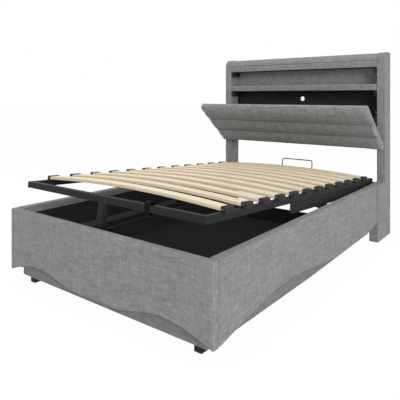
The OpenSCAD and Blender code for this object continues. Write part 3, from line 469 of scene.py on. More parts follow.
def add_node(tree, kind, settings=None, **links):
    """Adds a node. links gives an input, by name or by _ and number, an output or a value."""
    made = tree.nodes.new("ShaderNode" + kind)
    for key, value in (settings or {}).items():
        setattr(made, key, value)
    for socket, value in links.items():
        target = made.inputs[int(socket[1:]) if socket[0] == "_" else socket]
        if isinstance(value, bpy.types.NodeSocket):
            tree.links.new(value, target)
        else:
            target.default_value = value
    return made


class Finish:
    """Builds one node material step by step."""

    def __init__(self, name, colour, roughness, metallic=0.0, **sockets):
        self.material = bpy.data.materials.new(name)
        self.material.use_nodes = True
        self.tree = self.material.node_tree
        self.surface = self.tree.nodes["Principled BSDF"]
        self.surface.inputs["Base Color"].default_value = (*colour, 1)
        self.surface.inputs["Roughness"].default_value = roughness
        self.surface.inputs["Metallic"].default_value = metallic
        for socket, value in sockets.items():
            self.surface.inputs[socket.replace("_", " ")].default_value = value
        self.colour = colour
        self.material.diffuse_color = (*colour, 1)

    def node(self, kind, settings=None, **links):
        """Adds a node to the material."""
        return add_node(self.tree, kind, settings, **links)

    def place(self, scale=(1, 1, 1), cloth=False):
        """Coordinates in metres, stretched by scale: the cloth map, or the object's own."""
        if cloth:
            source = self.node("UVMap", {"uv_map": CLOTH_UV}).outputs["UV"]
        else:
            source = self.node("TexCoord").outputs["Object"]
        return self.node("Mapping", Vector=source, Scale=scale).outputs["Vector"]

    def noise(self, place, scale, detail=2.0, roughness=0.5):
        """Cloudy noise between 0 and 1."""
        made = self.node("TexNoise", Vector=place, Scale=scale, Detail=detail, Roughness=roughness)
        return made.outputs["Fac"]

    def cells(self, place, size):
        """Blocky patches, each of its own tone between 0 and 1; size is a patch's two lengths."""
        made = self.node("Mapping", Vector=place, Scale=(1 / size[0], 1 / size[1], 1))
        place = made.outputs["Vector"]
        made = self.node("TexVoronoi", {"distance": "CHEBYCHEV"}, Vector=place, Scale=1.0)
        return made.outputs["Color"]

    def attribute(self, name):
        """A number stored at the mesh's vertices."""
        return self.node("Attribute", {"attribute_name": name}).outputs["Fac"]

    def bands(self, place, pitch, direction, distortion):
        """Parallel bands between 0 and 1, a pitch in metres apart."""
        settings, scale = {"bands_direction": direction}, WAVE_PITCH / pitch
        made = self.node("TexWave", settings, Vector=place, Scale=scale, Distortion=distortion)
        return made.outputs["Fac"]

    def span(self, value, low, high):
        """Takes 0..1 to low..high."""
        made = self.node("MapRange", Value=value, **{"To Min": low, "To Max": high})
        return made.outputs["Result"]

    def plus(self, first, second):
        """The sum of two values."""
        return self.node("Math", {"operation": "ADD"}, _0=first, _1=second).outputs[0]

    def times(self, first, second):
        """The product of two values."""
        return self.node("Math", {"operation": "MULTIPLY"}, _0=first, _1=second).outputs[0]

    def clamp(self, value):
        """A value kept between 0 and 1."""
        return self.node("Clamp", Value=value).outputs[0]

    def mix(self, share, first, second):
        """A colour between two colours."""
        made = self.node("Mix", {"data_type": "RGBA"}, _0=share, _6=first, _7=second)
        return made.outputs[2]

    def shade(self, factor):
        """The base colour times a factor that varies over the surface."""
        made = self.node("VectorMath", {"operation": "SCALE"}, _0=self.colour, Scale=factor)
        self.set("Base Color", made.outputs[0])

    def set(self, socket, value):
        """Links a value to one of the surface's sockets."""
        self.tree.links.new(value, self.surface.inputs[socket])

    def bump(self, height, distance, strength=1.0):
        """Raises the surface by a height between 0 and 1, times distance in metres."""
        made = self.node("Bump", Height=height, Strength=strength, Distance=distance)
        self.set("Normal", made.outputs["Normal"])


def weave(name, colour, contrast=0.4, thread=0.0024, shade_keep=1.0):
    """Slubby plain weave: short thick threads both ways, as stretched patches of their own tone in two sizes, over
    a fine thread lattice and a slow cloud. Its last argument is the share of the colour that the places marked for
    painted shade keep."""
    f = Finish(name, colour, 0.95, Sheen_Weight=0.1, Sheen_Roughness=0.6, IOR=1.35)
    cloth = f.place(cloth=True)
    slubs = [f.cells(cloth, size) for size in SLUBS]
    both = f.plus(f.plus(slubs[0], slubs[2]), f.plus(slubs[1], slubs[3]))
    tone = f.plus(f.span(f.times(both, 0.25), -contrast, contrast), 1.0)
    dash = f.times(f.span(slubs[0], -4.6, 2.2), f.span(slubs[3], 0.4, 1.2))
    tone = f.plus(tone, f.times(f.clamp(dash), contrast * 0.3))
    tone = f.times(tone, f.span(f.noise(cloth, 9.0, 2.0), 0.94, 1.06))
    threads = f.times(f.bands(cloth, thread, "X", 0.6), f.bands(cloth, thread, "Y", 0.6))
    tone = f.times(tone, f.span(threads, 0.95, 1.06))
    # Painted shade: the marked places keep only that share of their colour.
    if shade_keep < 1:
        tone = f.times(tone, f.span(f.attribute(SHADE_MARKED), 1.0, shade_keep))
    f.shade(tone)
    f.bump(f.plus(f.times(threads, 0.4), f.times(both, 0.3)), 0.0011, 0.8)
    return f.material


def cloth_felt(name, colour):
    """Non-woven cloth: short fibres as fine noise in two scales."""
    f = Finish(name, colour, 0.95, Sheen_Weight=0.02, Sheen_Roughness=0.7, Specular_IOR_Level=0.1)
    fibres = f.noise(f.place(), 420.0, 4.0, 0.7)
    patches = f.noise(f.place(), 6.0, 3.0)
    f.shade(f.plus(f.span(fibres, -0.14, 0.14), f.span(patches, 0.92, 1.08)))
    f.bump(fibres, 0.0006, 0.6)
    return f.material


def faced_board(name, colour):
    """Black faced board: a fine pebbled skin with faint cloudy wear."""
    f = Finish(name, colour, 0.62, Specular_IOR_Level=0.1)
    pebbles = f.noise(f.place(), 700.0, 2.0)
    wear = f.noise(f.place(), 5.0, 4.0, 0.6)
    f.shade(f.span(wear, 0.85, 1.18))
    f.set("Roughness", f.span(wear, 0.52, 0.72))
    f.bump(pebbles, 0.0002, 0.5)
    return f.material


def powder_coat(name, colour, roughness=0.45):
    """Powder coat: orange-peel bumps, a roughness that wanders a little, and painted shade on the marked top
    faces.
    """
    f = Finish(name, colour, roughness, Specular_IOR_Level=0.1)
    peel = f.noise(f.place(), 900.0, 2.0)
    wander = f.noise(f.place(), 11.0, 3.0)
    # Painted shade: the marked top faces keep a quarter of the colour.
    f.shade(f.times(f.span(wander, 0.9, 1.12), f.span(f.attribute(TOP_FACE_SHADE), 1.0, 0.25)))
    f.set("Roughness", f.span(wander, roughness - 0.07, roughness + 0.1))
    f.bump(peel, 0.00012, 0.6)
    return f.material


def bare_metal(name, colour, roughness):
    """Plated steel: fine turning lines across the bed and soft stains."""
    f = Finish(name, colour, roughness, metallic=1.0)
    lines = f.noise(f.place((900, 30, 30)), 1.0, 2.0)
    stains = f.noise(f.place(), 40.0, 3.0)
    f.shade(f.span(stains, 0.9, 1.06))
    f.set("Roughness", f.span(lines, roughness * 0.7, roughness * 1.4))
    f.bump(lines, 0.00005, 0.4)
    return f.material


def wood(name, light, dark, plies=None, contrast=1.0):
    """Veneer: long grain from a stretched noise, finer pores, and a colour drift from slat to slat.

    plies is the two colours of the layered edges and the thickness of a pair of layers.
    """
    f = Finish(name, light, 0.5, Coat_Weight=0.06, Coat_Roughness=0.35)
    grain = f.noise(f.place((1.6, 46, 46)), 1.0, 6.0, 0.62)
    pores = f.noise(f.place((30, 900, 900)), 1.0, 2.0)
    drift = f.noise(f.place((0.4, 6.5, 1)), 1.0, 1.0)
    share = f.times(f.span(grain, -0.9 * contrast, 1.5 * contrast), 0.8)
    share = f.plus(share, f.span(drift, -0.45, 0.45))
    colour = f.mix(f.clamp(share), (*light, 1), (*dark, 1))
    if plies:
        layers = f.bands(f.place(cloth=True), plies[2], "Y", 0.4)
        edge = f.mix(layers, (*plies[0], 1), (*plies[1], 1))
        colour = f.mix(f.attribute(EDGE), colour, edge)
    f.set("Base Color", colour)
    f.set("Roughness", f.span(grain, 0.44, 0.6))
    f.bump(f.plus(f.times(pores, 0.5), grain), 0.00025, 0.5)
    return f.material


def moulded(name, colour, roughness=0.5):
    """Moulded plastic: a leathery grain and faint scuffs."""
    f = Finish(name, colour, roughness, Specular_IOR_Level=0.18)
    grain = f.noise(f.place(), 1400.0, 2.0)
    scuffs = f.noise(f.place((60, 300, 60)), 1.0, 3.0)
    f.shade(f.span(scuffs, 0.88, 1.14))
    f.set("Roughness", f.span(scuffs, roughness - 0.1, roughness + 0.12))
    f.bump(grain, 0.00012, 0.5)
    return f.material


def webbing(name, colour):
    """Woven webbing: ribs across the band and a fine weave along it."""
    f = Finish(name, colour, 0.8, Specular_IOR_Level=0.1)
    band = f.place(cloth=True)
    both = f.times(f.bands(band, 0.002, "X", 0.3), f.bands(band, 0.0012, "Y", 0.3))
    f.shade(f.span(both, 0.75, 1.25))
    f.bump(both, 0.0004, 0.8)
    return f.material


MATERIALS = {}


def make_materials(colours):
    """Makes each finish once and keeps it by the record's slot name."""
    if MATERIALS:
        return MATERIALS
    plies = (colours.ply_light, colours.ply_dark, bpy.context.scene.bed_platform.ply)
    MATERIALS.update(
        grey_fabric=weave("slubby_grey_weave", colours.fabric),
        # The flap's weave paints shade into its seams' creases.
        flap_fabric=weave("channelled_grey_weave", colours.flap, shade_keep=0.72),
        # The plinth's weave paints its marked inner and upper faces almost black, as shade under the skirt.
        plinth_board=weave("plinth_grey_weave", colours.plinth, contrast=0.3, shade_keep=0.05),
        black_board=faced_board("black_faced_board", colours.black_board),
        floor_cloth=cloth_felt("grey_floor_cloth", colours.floor_cloth),
        dark_steel=powder_coat("dark_powder_coat", colours.steel),
        grey_steel=powder_coat("grey_powder_coat", colours.grey_steel, 0.5),
        zinc_steel=bare_metal("zinc_plate", colours.zinc, 0.32),
        rod_chrome=bare_metal("polished_chrome", colours.chrome, 0.12),
        beech=wood("lacquered_beech", colours.beech, colours.beech_dark, plies),
        bearer_wood=wood("sawn_pine", colours.pine, colours.beech_dark, contrast=1.3),
        black_plastic=moulded("moulded_black_plastic", colours.plastic),
        strap_web=webbing("black_webbing", colours.webbing),
    )
    return MATERIALS


def dress(piece, body, slot, *nodes):
    """Gives a new piece its finish, the body it rides on and the nodes that it stands for."""
    piece.data.materials.clear()
    piece.data.materials.append(make_materials(bpy.context.scene.bed_finishes)[slot])
    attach(piece, body)
    if nodes:
        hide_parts(*nodes)


def dress_pair(right, slot, node):
    """Dresses a right-hand piece of the base and its mirror image on the left."""
    left = mirrored(right.name.replace("right", "left"), right)
    dress(right, "bed_base", slot, node + "_right")
    dress(left, "bed_base", slot, node + "_left")


# Operators

RIPPLE = 0.0006  # how far the upholstery's faces wander
PLINTH_ROUND = 0.0025


class BED_OT_finish_parts(bpy.types.Operator):
    """Gives every fixed part its material"""

    bl_idname = "bed.finish_parts"
    bl_label = "Finish fixed parts"

    def execute(self, context):
        finishes = make_materials(context.scene.bed_finishes)
        for row in frame["record"]["subparts"]:
            mesh = frame["nodes"][row["node"]].data
            mesh.materials.clear()
            mesh.materials.append(finishes[row["material_slot"]])
        return {"FINISHED"}


def ease(t):
    """Smooth step from 0 to 1: half a cosine."""
    return (1 - np.cos(np.pi * np.clip(t, 0, 1))) / 2


def foot_skirt(x, s):
    """Height of the footboard's lower edge: a middle dip, two arches, then a fall to each corner."""
    a, half = np.abs(x), s.rail_half
    flat, arch = 0.177 * half, 0.612 * half
    rise = s.foot_dip + (s.foot_arch - s.foot_dip) * ease((a - flat) / (arch - flat))
    outer = np.cos(QUARTER * np.clip((a - arch) / (half - arch), 0, 1))
    fall = s.corner_drop + (s.foot_arch - s.corner_drop) * outer
    return np.where(a < arch, rise, fall)


def side_skirt(y, s):
    """Height of a side rail's lower edge: an arch, a long dip, then a rise to the leg."""
    t = (y + s.half_length) / (2 * s.half_length - s.leg_depth)
    arch, dip, end = 0.307, 0.62, 0.862
    start = np.sin(QUARTER * np.clip(t / arch, 0, 1)) ** 1.25
    rise = s.corner_drop + (s.side_arch - s.corner_drop) * start
    middle = s.side_arch + (s.side_dip - s.side_arch) * ease((t - arch) / (dip - arch))
    lift = 1 - np.cos(QUARTER * np.clip((t - end) / (1 - end), 0, 1))
    last = s.side_dip + (s.side_end - s.side_dip) * lift
    return np.where(t < arch, rise, np.where(t < end, middle, last))


def mark_hidden_shade(piece, axis, place):
    """Marks a plinth board's inner face, at a place along an axis, and its upper one, for painted shade that the
    plinth's weave makes almost black.
    """
    co = vertices(piece.data)
    inner = np.abs(co[:, axis] - place) < PLINTH_ROUND - 0.0001
    marked(piece, SHADE_MARKED, inner | (co[:, 2] > co[:, 2].max() - PLINTH_ROUND - 0.0005))


class BED_OT_upholster_base(bpy.types.Operator):
    """Covers the footboard, the side rails and the plinth"""

    bl_idname = "bed.upholster_base"
    bl_label = "Upholster base"

    def execute(self, context):
        s = context.scene.bed_sizes
        inner, leg = -s.half_length + s.foot_thick, s.half_length - s.leg_depth
        foot = board(
            "footboard_cover", 0, -s.rail_half, s.rail_half,
            lambda x: (-s.half_length, inner, foot_skirt(x, s), s.rail_top),
            s.edge_round * 1.5, (3, 18, 3, 18), 120, s.skirt_round, RIPPLE)
        dress(foot, "bed_base", "grey_fabric", "footboard")
        rail = board(
            "side_rail_cover_right", 1, inner, leg,
            lambda y: (s.rail_half - s.rail_thick, s.rail_half, side_skirt(y, s), s.rail_top),
            s.edge_round, (4, 18, 4, 18), 140, s.skirt_round, RIPPLE)
        dress_pair(rail, "grey_fabric", "side_rail")
        low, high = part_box("plinth_front")
        thick = high.y - low.y
        front = boxed("plinth_front_cover", "plinth_front", PLINTH_ROUND, (2, 6, 2, 6), 30)
        # The plinth's inner and upper faces are marked for painted shade.
        mark_hidden_shade(front, 1, high.y)
        dress(front, "bed_base", "plinth_board", "plinth_front")
        low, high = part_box("plinth_sides")
        middle = (low.y + high.y) / 2
        slope = s.plinth_rise / (high.y - middle)
        right = board(
            "plinth_right_cover", 1, low.y, high.y,
            lambda y: (high.x - thick, high.x, low.z + slope * np.maximum(y - middle, 0), high.z),
            PLINTH_ROUND, (2, 6, 2, 6), 30)
        mark_hidden_shade(right, 0, high.x - thick)
        sides = joined("plinth_sides_cover", [right, mirrored("plinth_left_cover", right)])
        dress(sides, "bed_base", "plinth_board", "plinth_sides")
        return {"FINISHED"}


class BED_OT_upholster_headboard(bpy.types.Operator):
    """Covers the posts, the top rail, the shelf, the compartment floor and the shelf's back"""

    bl_idname = "bed.upholster_headboard"
    bl_label = "Upholster headboard"

    def execute(self, context):
        s = context.scene.bed_sizes
        head, front = s.half_length, s.half_length - s.post_depth
        leg, inner = s.half_length - s.leg_depth, s.post_half - s.post_thick
        foot_round, back_round, neck_round, heel_round = 0.0065, 0.012, 0.008, 0.009
        outline = filleted(
            [(leg, 0), (head, 0), (head, s.post_top),
             (front, s.post_top), (front, s.rail_top), (leg, s.rail_top)],
            [foot_round, foot_round, back_round, s.post_round, neck_round, heel_round])
        post = extruded("post_cover_right", outline, inner, s.post_half, s.edge_round)
        dress_pair(post, "grey_fabric", "post")
        # The rail's section: a round upper front edge, and the seam's groove under its roll
        low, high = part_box("top_rail")
        groove, seam = s.roll_groove, s.roll_seam
        outline = filleted(
            [(low.y, low.z), (high.y, low.z), (high.y, high.z), (low.y, high.z),
             (low.y + groove * 0.3, seam + groove), (low.y + groove, seam), (low.y, seam - groove)],
            [0.006, 0.003, 0.003, s.post_round - 0.009, 0.002, 0.0008, 0.003])
        rail = extruded("top_rail_cover", outline, low.x, high.x, 0.002, middle=60)
        dress(rail, "bed_base", "grey_fabric", "top_rail")
        # Black sheets under the top rail and the shelf, painted shade under them, ending short of the cleats
        clear, front_inset, back_inset, below, above = 0.022, 0.003, 0.002, 0.0015, 0.0005
        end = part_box("board_cleats")[1].x - s.post_half + s.post_thick + clear
        for node in ("top_rail", "shelf"):
            low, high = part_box(node)
            y0, y1 = low.y + front_inset, high.y - back_inset
            shade_sheet = board(
                node + "_dust_cover", 0, low.x + end, high.x - end,
                lambda x: (y0, y1, low.z - below, low.z + above), 0.0006, (2, 0, 2, 0), 20)
            dress(shade_sheet, "bed_base", "black_board")
        for node, radius in (("shelf", 0.006), ("compartment_floor", 0.006), ("shelf_back", 0.003)):
            piece = boxed(node + "_cover", node, radius, (4, 4, 4, 4), 50)
            dress(piece, "bed_base", "grey_fabric", node)
        return {"FINISHED"}


FULLNESS = 0.6  # power of the channels' sine: the smaller, the fuller they are
LIP_LEAST = 0.2  # share of the padding's thickness that is left at the very lip


def flap_rows(flap):
    """Places of the hinge edge, the seams and the lip, as shares of the flap's length."""
    below = flap.channels - 1
    return [0, *((1 - flap.lip_share) * (k + 1) / below for k in range(below)), 1]


def flap_depth(u, v, flap):
    """Thickness of the flap's padding at shares u across and v up: each channel is a power of a
    sine between its seams, and quarter ellipses thin the padding out towards the borders."""
    phase = np.interp(v, flap_rows(flap), range(flap.channels + 1))
    puff = np.abs(np.sin(np.pi * phase)) ** FULLNESS
    puff = np.where((phase < 0.5) | (phase > flap.channels - 0.5), 1, puff)
    depth = flap.pad - flap.pad_edge - flap.seam_depth * (1 - puff)
    for place in ((1 - np.abs(2 * u - 1)) * flap.half_width, v * flap.long):
        depth = depth * np.sqrt(1 - (1 - np.minimum(place / flap.end_round, 1)) ** 2)
    thin = np.sqrt(1 - (1 - np.minimum((1 - v) * flap.long / flap.lip_round, 1)) ** 2)
    return (flap.pad_edge + depth) * (LIP_LEAST + (1 - LIP_LEAST) * thin)


def flap_outline(u, v, half, low, high, radius):
    """Places x, z at shares u, v of a rectangle whose two upper corners are round: there the
    square's rays are shortened to the circle's."""
    x, z = (2 * u - 1) * half, low + v * (high - low)
    across = np.maximum(np.abs(x) - half + radius, 0) / radius
    up = np.maximum(z - high + radius, 0) / radius
    share = np.maximum(across, up) / np.maximum(np.hypot(across, up), 1e-9)
    corner = (across > 0) & (up > 0)
    x = np.where(corner, np.sign(x) * (half - radius + across * share * radius), x)
    return x, np.where(corner, high - radius + up * share * radius, z)


class BED_OT_pad_flap(bpy.types.Operator):
    """Makes the flap's channelled padding, turns its cover over the board and lets it swell"""

    bl_idname = "bed.pad_flap"
    bl_label = "Pad flap"

    def execute(self, context):
        flap = context.scene.bed_flap
        across, up, crowding, crease = 210, 24 * flap.channels, 0.75, 0.004
        # Columns stand closer at both ends, and rows at the hinge edge, the seams and the lip
        t = np.linspace(0, 1, across + 1)
        u = t - crowding * np.sin(2 * np.pi * t) / (2 * np.pi)
        t = np.linspace(0, flap.channels, up + 1)
        t = np.floor(t) + (1 - np.cos(np.pi * (t - np.floor(t)))) / 2
        v = np.interp(t, range(flap.channels + 1), flap_rows(flap))
        uu, vv = np.meshgrid(u, v, indexing="ij")
        low, high = flap.seat - flap.cover, flap.seat + flap.long
        x, z = flap_outline(uu, vv, flap.half_width, low, high, flap.corner)
        points = [np.stack([x, -flap.board - flap_depth(uu, vv, flap), z], -1).reshape(-1, 3)]
        maps = [np.stack([x, z], -1).reshape(-1, 2)]
        index = np.arange(uu.size).reshape(uu.shape)
        quads = np.stack([index[:-1, :-1], index[1:, :-1], index[1:, 1:], index[:-1, 1:]], -1)
        faces = quads.reshape(-1, 4).tolist()
        border = np.concatenate([index[:-1, 0], index[-1, :-1], index[:0:-1, -1], index[0, :0:-1]])
        bu, bv = uu.ravel()[border], vv.ravel()[border]
        beside = np.sign(2 * bu - 1) * (np.abs(2 * bu - 1) == 1)
        sideways = np.stack([beside, (bv == 1) * 1.0 - (bv == 0)], -1)
        cover, inner = flap.cover, flap.board_inset - flap.cover / 4
        # The cover's edge, round by round: inset from ends and lip, from the hinge edge, and depth
        rounds = [
            (0, 0, -flap.board), (0, 0, -2 * cover), (cover, cover, cover / 2),
            (3 * cover, 3 * cover, cover), (flap.hem, flap.hem, cover),
            (flap.hem + cover / 2, flap.hem + cover / 2, cover / 4),
            (inner, cover / 2, cover / 4), (inner, cover / 2, -flap.board - cover / 4),
        ]
        last, run, place = border, 0.0, points[0][border]
        for inset, under, y in rounds:
            radius = max(flap.corner - inset, 0.002)
            rx, rz = flap_outline(bu, bv, flap.half_width - inset, low + under, high - inset, radius)
            ring = np.stack([rx, np.full_like(rx, y), rz], -1)
            run += np.median(np.linalg.norm(ring - place, axis=1))
            here = sum(map(len, points)) + np.arange(len(border))
            faces += np.stack([last, here, np.roll(here, -1), np.roll(last, -1)], -1).tolist()
            points.append(ring)
            maps.append(maps[0][border] + sideways * run)
            last, place = here, ring
        faces.append(last.tolist())
        mesh = bpy.data.meshes.new("flap_padding")
        mesh.from_pydata(opened(np.concatenate(points)), [], faces)
        loops = np.empty(len(mesh.loops), np.int32)
        mesh.loops.foreach_get("vertex_index", loops)
        flat = np.concatenate(maps)[loops].astype(np.float32)
        mesh.uv_layers.new(name=CLOTH_UV).data.foreach_set("uv", flat.ravel())
        # The seams' creases are marked for painted shade, strongest on the seam.
        near = np.min([np.abs(vv - seam) for seam in flap_rows(flap)[1:-1]], axis=0) * flap.long
        spare = np.zeros(len(mesh.vertices) - uu.size)
        crease_shade = np.concatenate([np.exp(-((near / crease) ** 2)).ravel(), spare])
        pad = marked(finished("flap_padding", mesh, 60), SHADE_MARKED, crease_shade)
        free = (near > crease) & (vv > 0) & (vv < 1) & (uu > 0) & (uu < 1)
        swell(pad, np.concatenate([~free.ravel(), spare == 0]), most=0.010)
        dress(pad, "headboard_flap", "flap_fabric", "flap_pad")
        return {"FINISHED"}


def swell(piece, held, most, steps=20):
    """Runs Cloth with inner pressure on a piece whose held points are pinned, and caps each
    point's move."""
    rest = vertices(piece.data)
    group = piece.vertex_groups.new(name="Held")
    group.add(np.nonzero(held)[0].tolist(), 1.0, "REPLACE")
    cloth = piece.modifiers.new("Cloth", "CLOTH")
    cloth.settings.vertex_group_mass = "Held"
    cloth.settings.use_pressure = True
    cloth.settings.uniform_pressure_force = 4
    cloth.settings.shrink_min = -0.012
    cloth.settings.effector_weights.gravity = 0
    cloth.settings.quality = 4
    cloth.settings.mass = 0.3
    cloth.settings.bending_stiffness = 0.4
    cloth.point_cache.frame_start, cloth.point_cache.frame_end = 1, steps
    for step in range(1, steps + 1):
        bpy.context.scene.frame_set(step)
    graph = bpy.context.evaluated_depsgraph_get()
    move = vertices(piece.evaluated_get(graph).data) - rest
    reach = np.linalg.norm(move, axis=1, keepdims=True)
    move *= np.tanh(reach / most) * most / np.maximum(reach, 1e-9)
    piece.modifiers.remove(cloth)
    piece.vertex_groups.remove(group)
    move_vertices(piece.data, rest + move)
    bpy.context.scene.frame_set(1)


def platform_slats(p):
    """Places of the slats' middles along the shut platform."""
    return np.linspace(p.front + p.first_slat, p.back - p.last_slat, p.slats)


class BED_OT_lay_slats(bpy.types.Operator):
    """Lays the bowed slats in their holders"""

    bl_idname = "bed.lay_slats"
    bl_label = "Lay slats"

    def execute(self, context):
        p = context.scene.bed_platform
        arc_half = p.half_width - p.holder_long
        tip = arc_half + p.slat_tip
        radius = (arc_half**2 + p.slat_bow**2) / (2 * p.slat_bow)
        # Between its holders a slat is a circle's arc, and inside them it is level
        end_round, edge_round, flat_edge = 0.002, 0.0035, 0.002
        places, insets = rounded_stations(-tip, tip, end_round, 70)
        inner = np.minimum(np.abs(places), arc_half)
        base = p.low + p.bar + p.slat_lift
        rise = np.sqrt(radius**2 - inner**2) - math.sqrt(radius**2 - arc_half**2)
        for number, y in enumerate(platform_slats(p), start=1):
            half = p.slat_wide / 2 - insets
            ring = rounded_ring(
                y - half, y + half, base + rise + insets, base + rise + p.slat_thick - insets,
                np.maximum(edge_round - insets, SHARP), (6, 5, 6, 5))
            slat = loft(f"sprung_slat_{number}", lifted(place_axes(ring, places, 0)))
            marked(slat, EDGE, np.abs(ring[..., 0] - y) > p.slat_wide / 2 - flat_edge)
            dress(slat, "slat_platform", "beech", f"slat_{number}")
        return {"FINISHED"}


class BED_OT_fit_holders(bpy.types.Operator):
    """Fits the ribbed plastic slat holders on both side bars"""

    bl_idname = "bed.fit_holders"
    bl_label = "Fit slat holders"

    def execute(self, context):
        p = context.scene.bed_platform
        x1, half = p.half_width + p.hook_thick, p.holder_wide / 2
        gap, corner_round, rib_depth, hook_edge = 0.0003, 0.007, 0.0011, 0.001
        # From below: the hook's three levels, then shares of the height; their insets and ribs
        shares = np.array([0, 0.12, 0.15, 0.22, 0.23, 0.65, 0.66, 0.76, 0.87, 0.945, 0.985, 1])
        hook = [-p.hook_low, -p.hook_low + hook_edge, 0]
        levels = np.concatenate([hook, shares * p.holder_high])
        inset = np.array([0.6, 0.1, 0, 0, 0, 1, 1, 1, 1, 1, 1.2, 2, 3.6, 6, 9]) / 1000
        ribbed = np.isin(np.arange(len(levels)), (7, 8))[:, None, None] * rib_depth
        hooked = np.arange(len(levels)) < len(hook)
        x0 = np.where(hooked, p.half_width + gap, p.half_width - p.holder_long)
        radius = np.where(hooked, p.hook_thick / 3, corner_round) - inset
        radius = np.maximum(radius, np.where(hooked, SHARP, 0.002))
        for side, name in ((1, "right"), (-1, "left")):
            made = []
            for y in platform_slats(p):
                sides = (x0 + inset, x1 - inset, y - half + inset, y + half - inset)
                ring = rounded_ring(*sides, radius, (26, 50, 26, 50), corner=6)
                groove = (np.sin(np.arange(ring.shape[1]) * np.pi / 3) > 0.3)[None, :, None]
                outward = ring - np.array([(x0[-1] + x1) / 2, y])
                outward = outward / np.linalg.norm(outward, axis=-1, keepdims=True)
                ring = ring - outward * groove * ribbed
                rings = place_axes(ring, p.low + p.bar + levels, 2)
                rings[..., 0] *= side
                made.append(loft(f"holder_{name}_{len(made)}", lifted(rings), 35))
            holders = joined(f"slat_holders_ribbed_{name}", made)
            dress(holders, "slat_platform", "black_plastic", f"slat_holders_{name}")
        return {"FINISHED"}


class BED_OT_weld_bars(bpy.types.Operator):
    """Makes the platform's square bars with rounded long edges and plugged ends"""

    bl_idname = "bed.weld_bars"
    bl_label = "Weld bars"

    def execute(self, context):
        p = context.scene.bed_platform
        top, inner, end_round = p.low + p.bar, p.half_width - p.bar, 0.0012
        bars = {
            "front_bar": (0, -inner, inner, p.front, p.front + p.bar),
            "rear_bar": (0, -inner, inner, p.back - p.bar, p.back),
            "side_bar_right": (1, p.front, p.back, inner, p.half_width),
            "side_bar_left": (1, p.front, p.back, -p.half_width, -inner),
        }
        # A square tube with rounded edges; a side bar's outer front edge is a quarter circle
        for node, (along, start, stop, low, high) in bars.items():
            places, insets = rounded_stations(start, stop, end_round, 8)
            nose = np.zeros_like(places)
            if along:
                bend = np.linspace(0, QUARTER, 9)[1:]
                extra = start + p.nose_round * (1 - np.cos(bend))
                keep = places > extra[-1]
                places = np.concatenate([[start, start + SHARP], extra, places[keep]])
                insets = np.concatenate([[end_round, SHARP], np.zeros(len(extra)), insets[keep]])
                short = np.clip(1 - (places - start) / p.nose_round, 0, 1)
                nose = p.nose_round * (1 - np.sqrt(1 - short**2))
            left, right = (nose, 0) if high < 0 else (0, nose)
            ring = rounded_ring(
                low + insets + left, high - insets - right, p.low + insets, top - insets,
                np.maximum(p.bar_round - insets, SHARP), (2, 2, 2, 2), corner=6)
            bar = loft(node + "_tube", lifted(place_axes(ring, places, along)))
            # The top faces are marked for the coat's painted shade.
            marked(bar, TOP_FACE_SHADE, ring[..., 1] > top - p.bar_round / 2)
            dress(bar, "slat_platform", "dark_steel", node)
        return {"FINISHED"}


class BED_OT_bend_leg(bpy.types.Operator):
    """Makes the centre leg's two flats, its rubber boot and a black strip beside it that paints the shade line
    there
    """

    bl_idname = "bed.bend_leg"
    bl_label = "Bend leg"

    def execute(self, context):
        p = context.scene.bed_platform
        t, top, rear_y = p.leg_flat, p.low + p.bar, p.front + p.bar
        gap, flat_round, strip_round, wall = 0.0003, 0.0007, 0.0009, 0.0015
        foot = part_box("storage_floor_foot")[1].z + p.boot_high + gap
        wide0, wide1 = p.leg_middle - p.leg_wide / 2, p.leg_middle + p.leg_wide / 2
        low0, low1 = wide0 - p.leg_shift, wide0 - p.leg_shift + p.leg_narrow
        # Heights: the front flat leaves the rear one, stands straight, begins and ends to widen
        joint, bend = foot + p.leg_joined, p.low - p.leg_straight
        narrow, broad = bend + 0.02, p.low - 0.01
        levels = np.unique([*np.linspace(foot, top, 40), joint, bend, narrow, broad])
        y = p.front + np.interp(levels, [joint, bend], [p.bar - t / 2, -t / 2])
        x0 = np.interp(levels, [bend, top], [low0, wide0])
        x1 = np.interp(levels, [narrow, broad], [low1, wide1])
        radius = np.full_like(levels, flat_round)
        ring = rounded_ring(x0, x1, y - t / 2, y + t / 2, radius, (8, 0, 8, 0))
        front = loft("leg_front_flat", lifted(place_axes(ring, levels, 2)), 30)
        rear = board(
            "leg_rear_flat", 2, foot, top,
            lambda z: (low0, low1, rear_y, rear_y + t), flat_round, (8, 0, 8, 0), 10)
        # A black strip on the bar's face beside the leg: painted shade of the gap there.
        strip = board(
            "leg_strip", 2, p.low, top,
            lambda z: (wide1 + gap, wide1 + p.gap_shade_wide, p.front - t, p.front - gap / 3),
            strip_round, (4, 0, 4, 0), 4)
        boot = board(
            "leg_boot", 2, foot - p.boot_high, foot + p.leg_joined / 2,
            lambda z: (low0 - wall, low1 + wall, rear_y - t - wall, rear_y - t + p.boot_deep),
            wall, (6, 2, 6, 2), 6)
        for piece in (rear, strip, boot):
            move_vertices(piece.data, lifted(vertices(piece.data).astype(float)))
        flats = joined("centre_leg_flats", [front, rear])
        dress(flats, "slat_platform", "dark_steel", "centre_leg")
        # The rubber boot and the black strip of painted shade share one object.
        rubber = joined("centre_leg_rubber", [strip, boot])
        dress(rubber, "slat_platform", "black_plastic", "centre_leg")
        return {"FINISHED"}


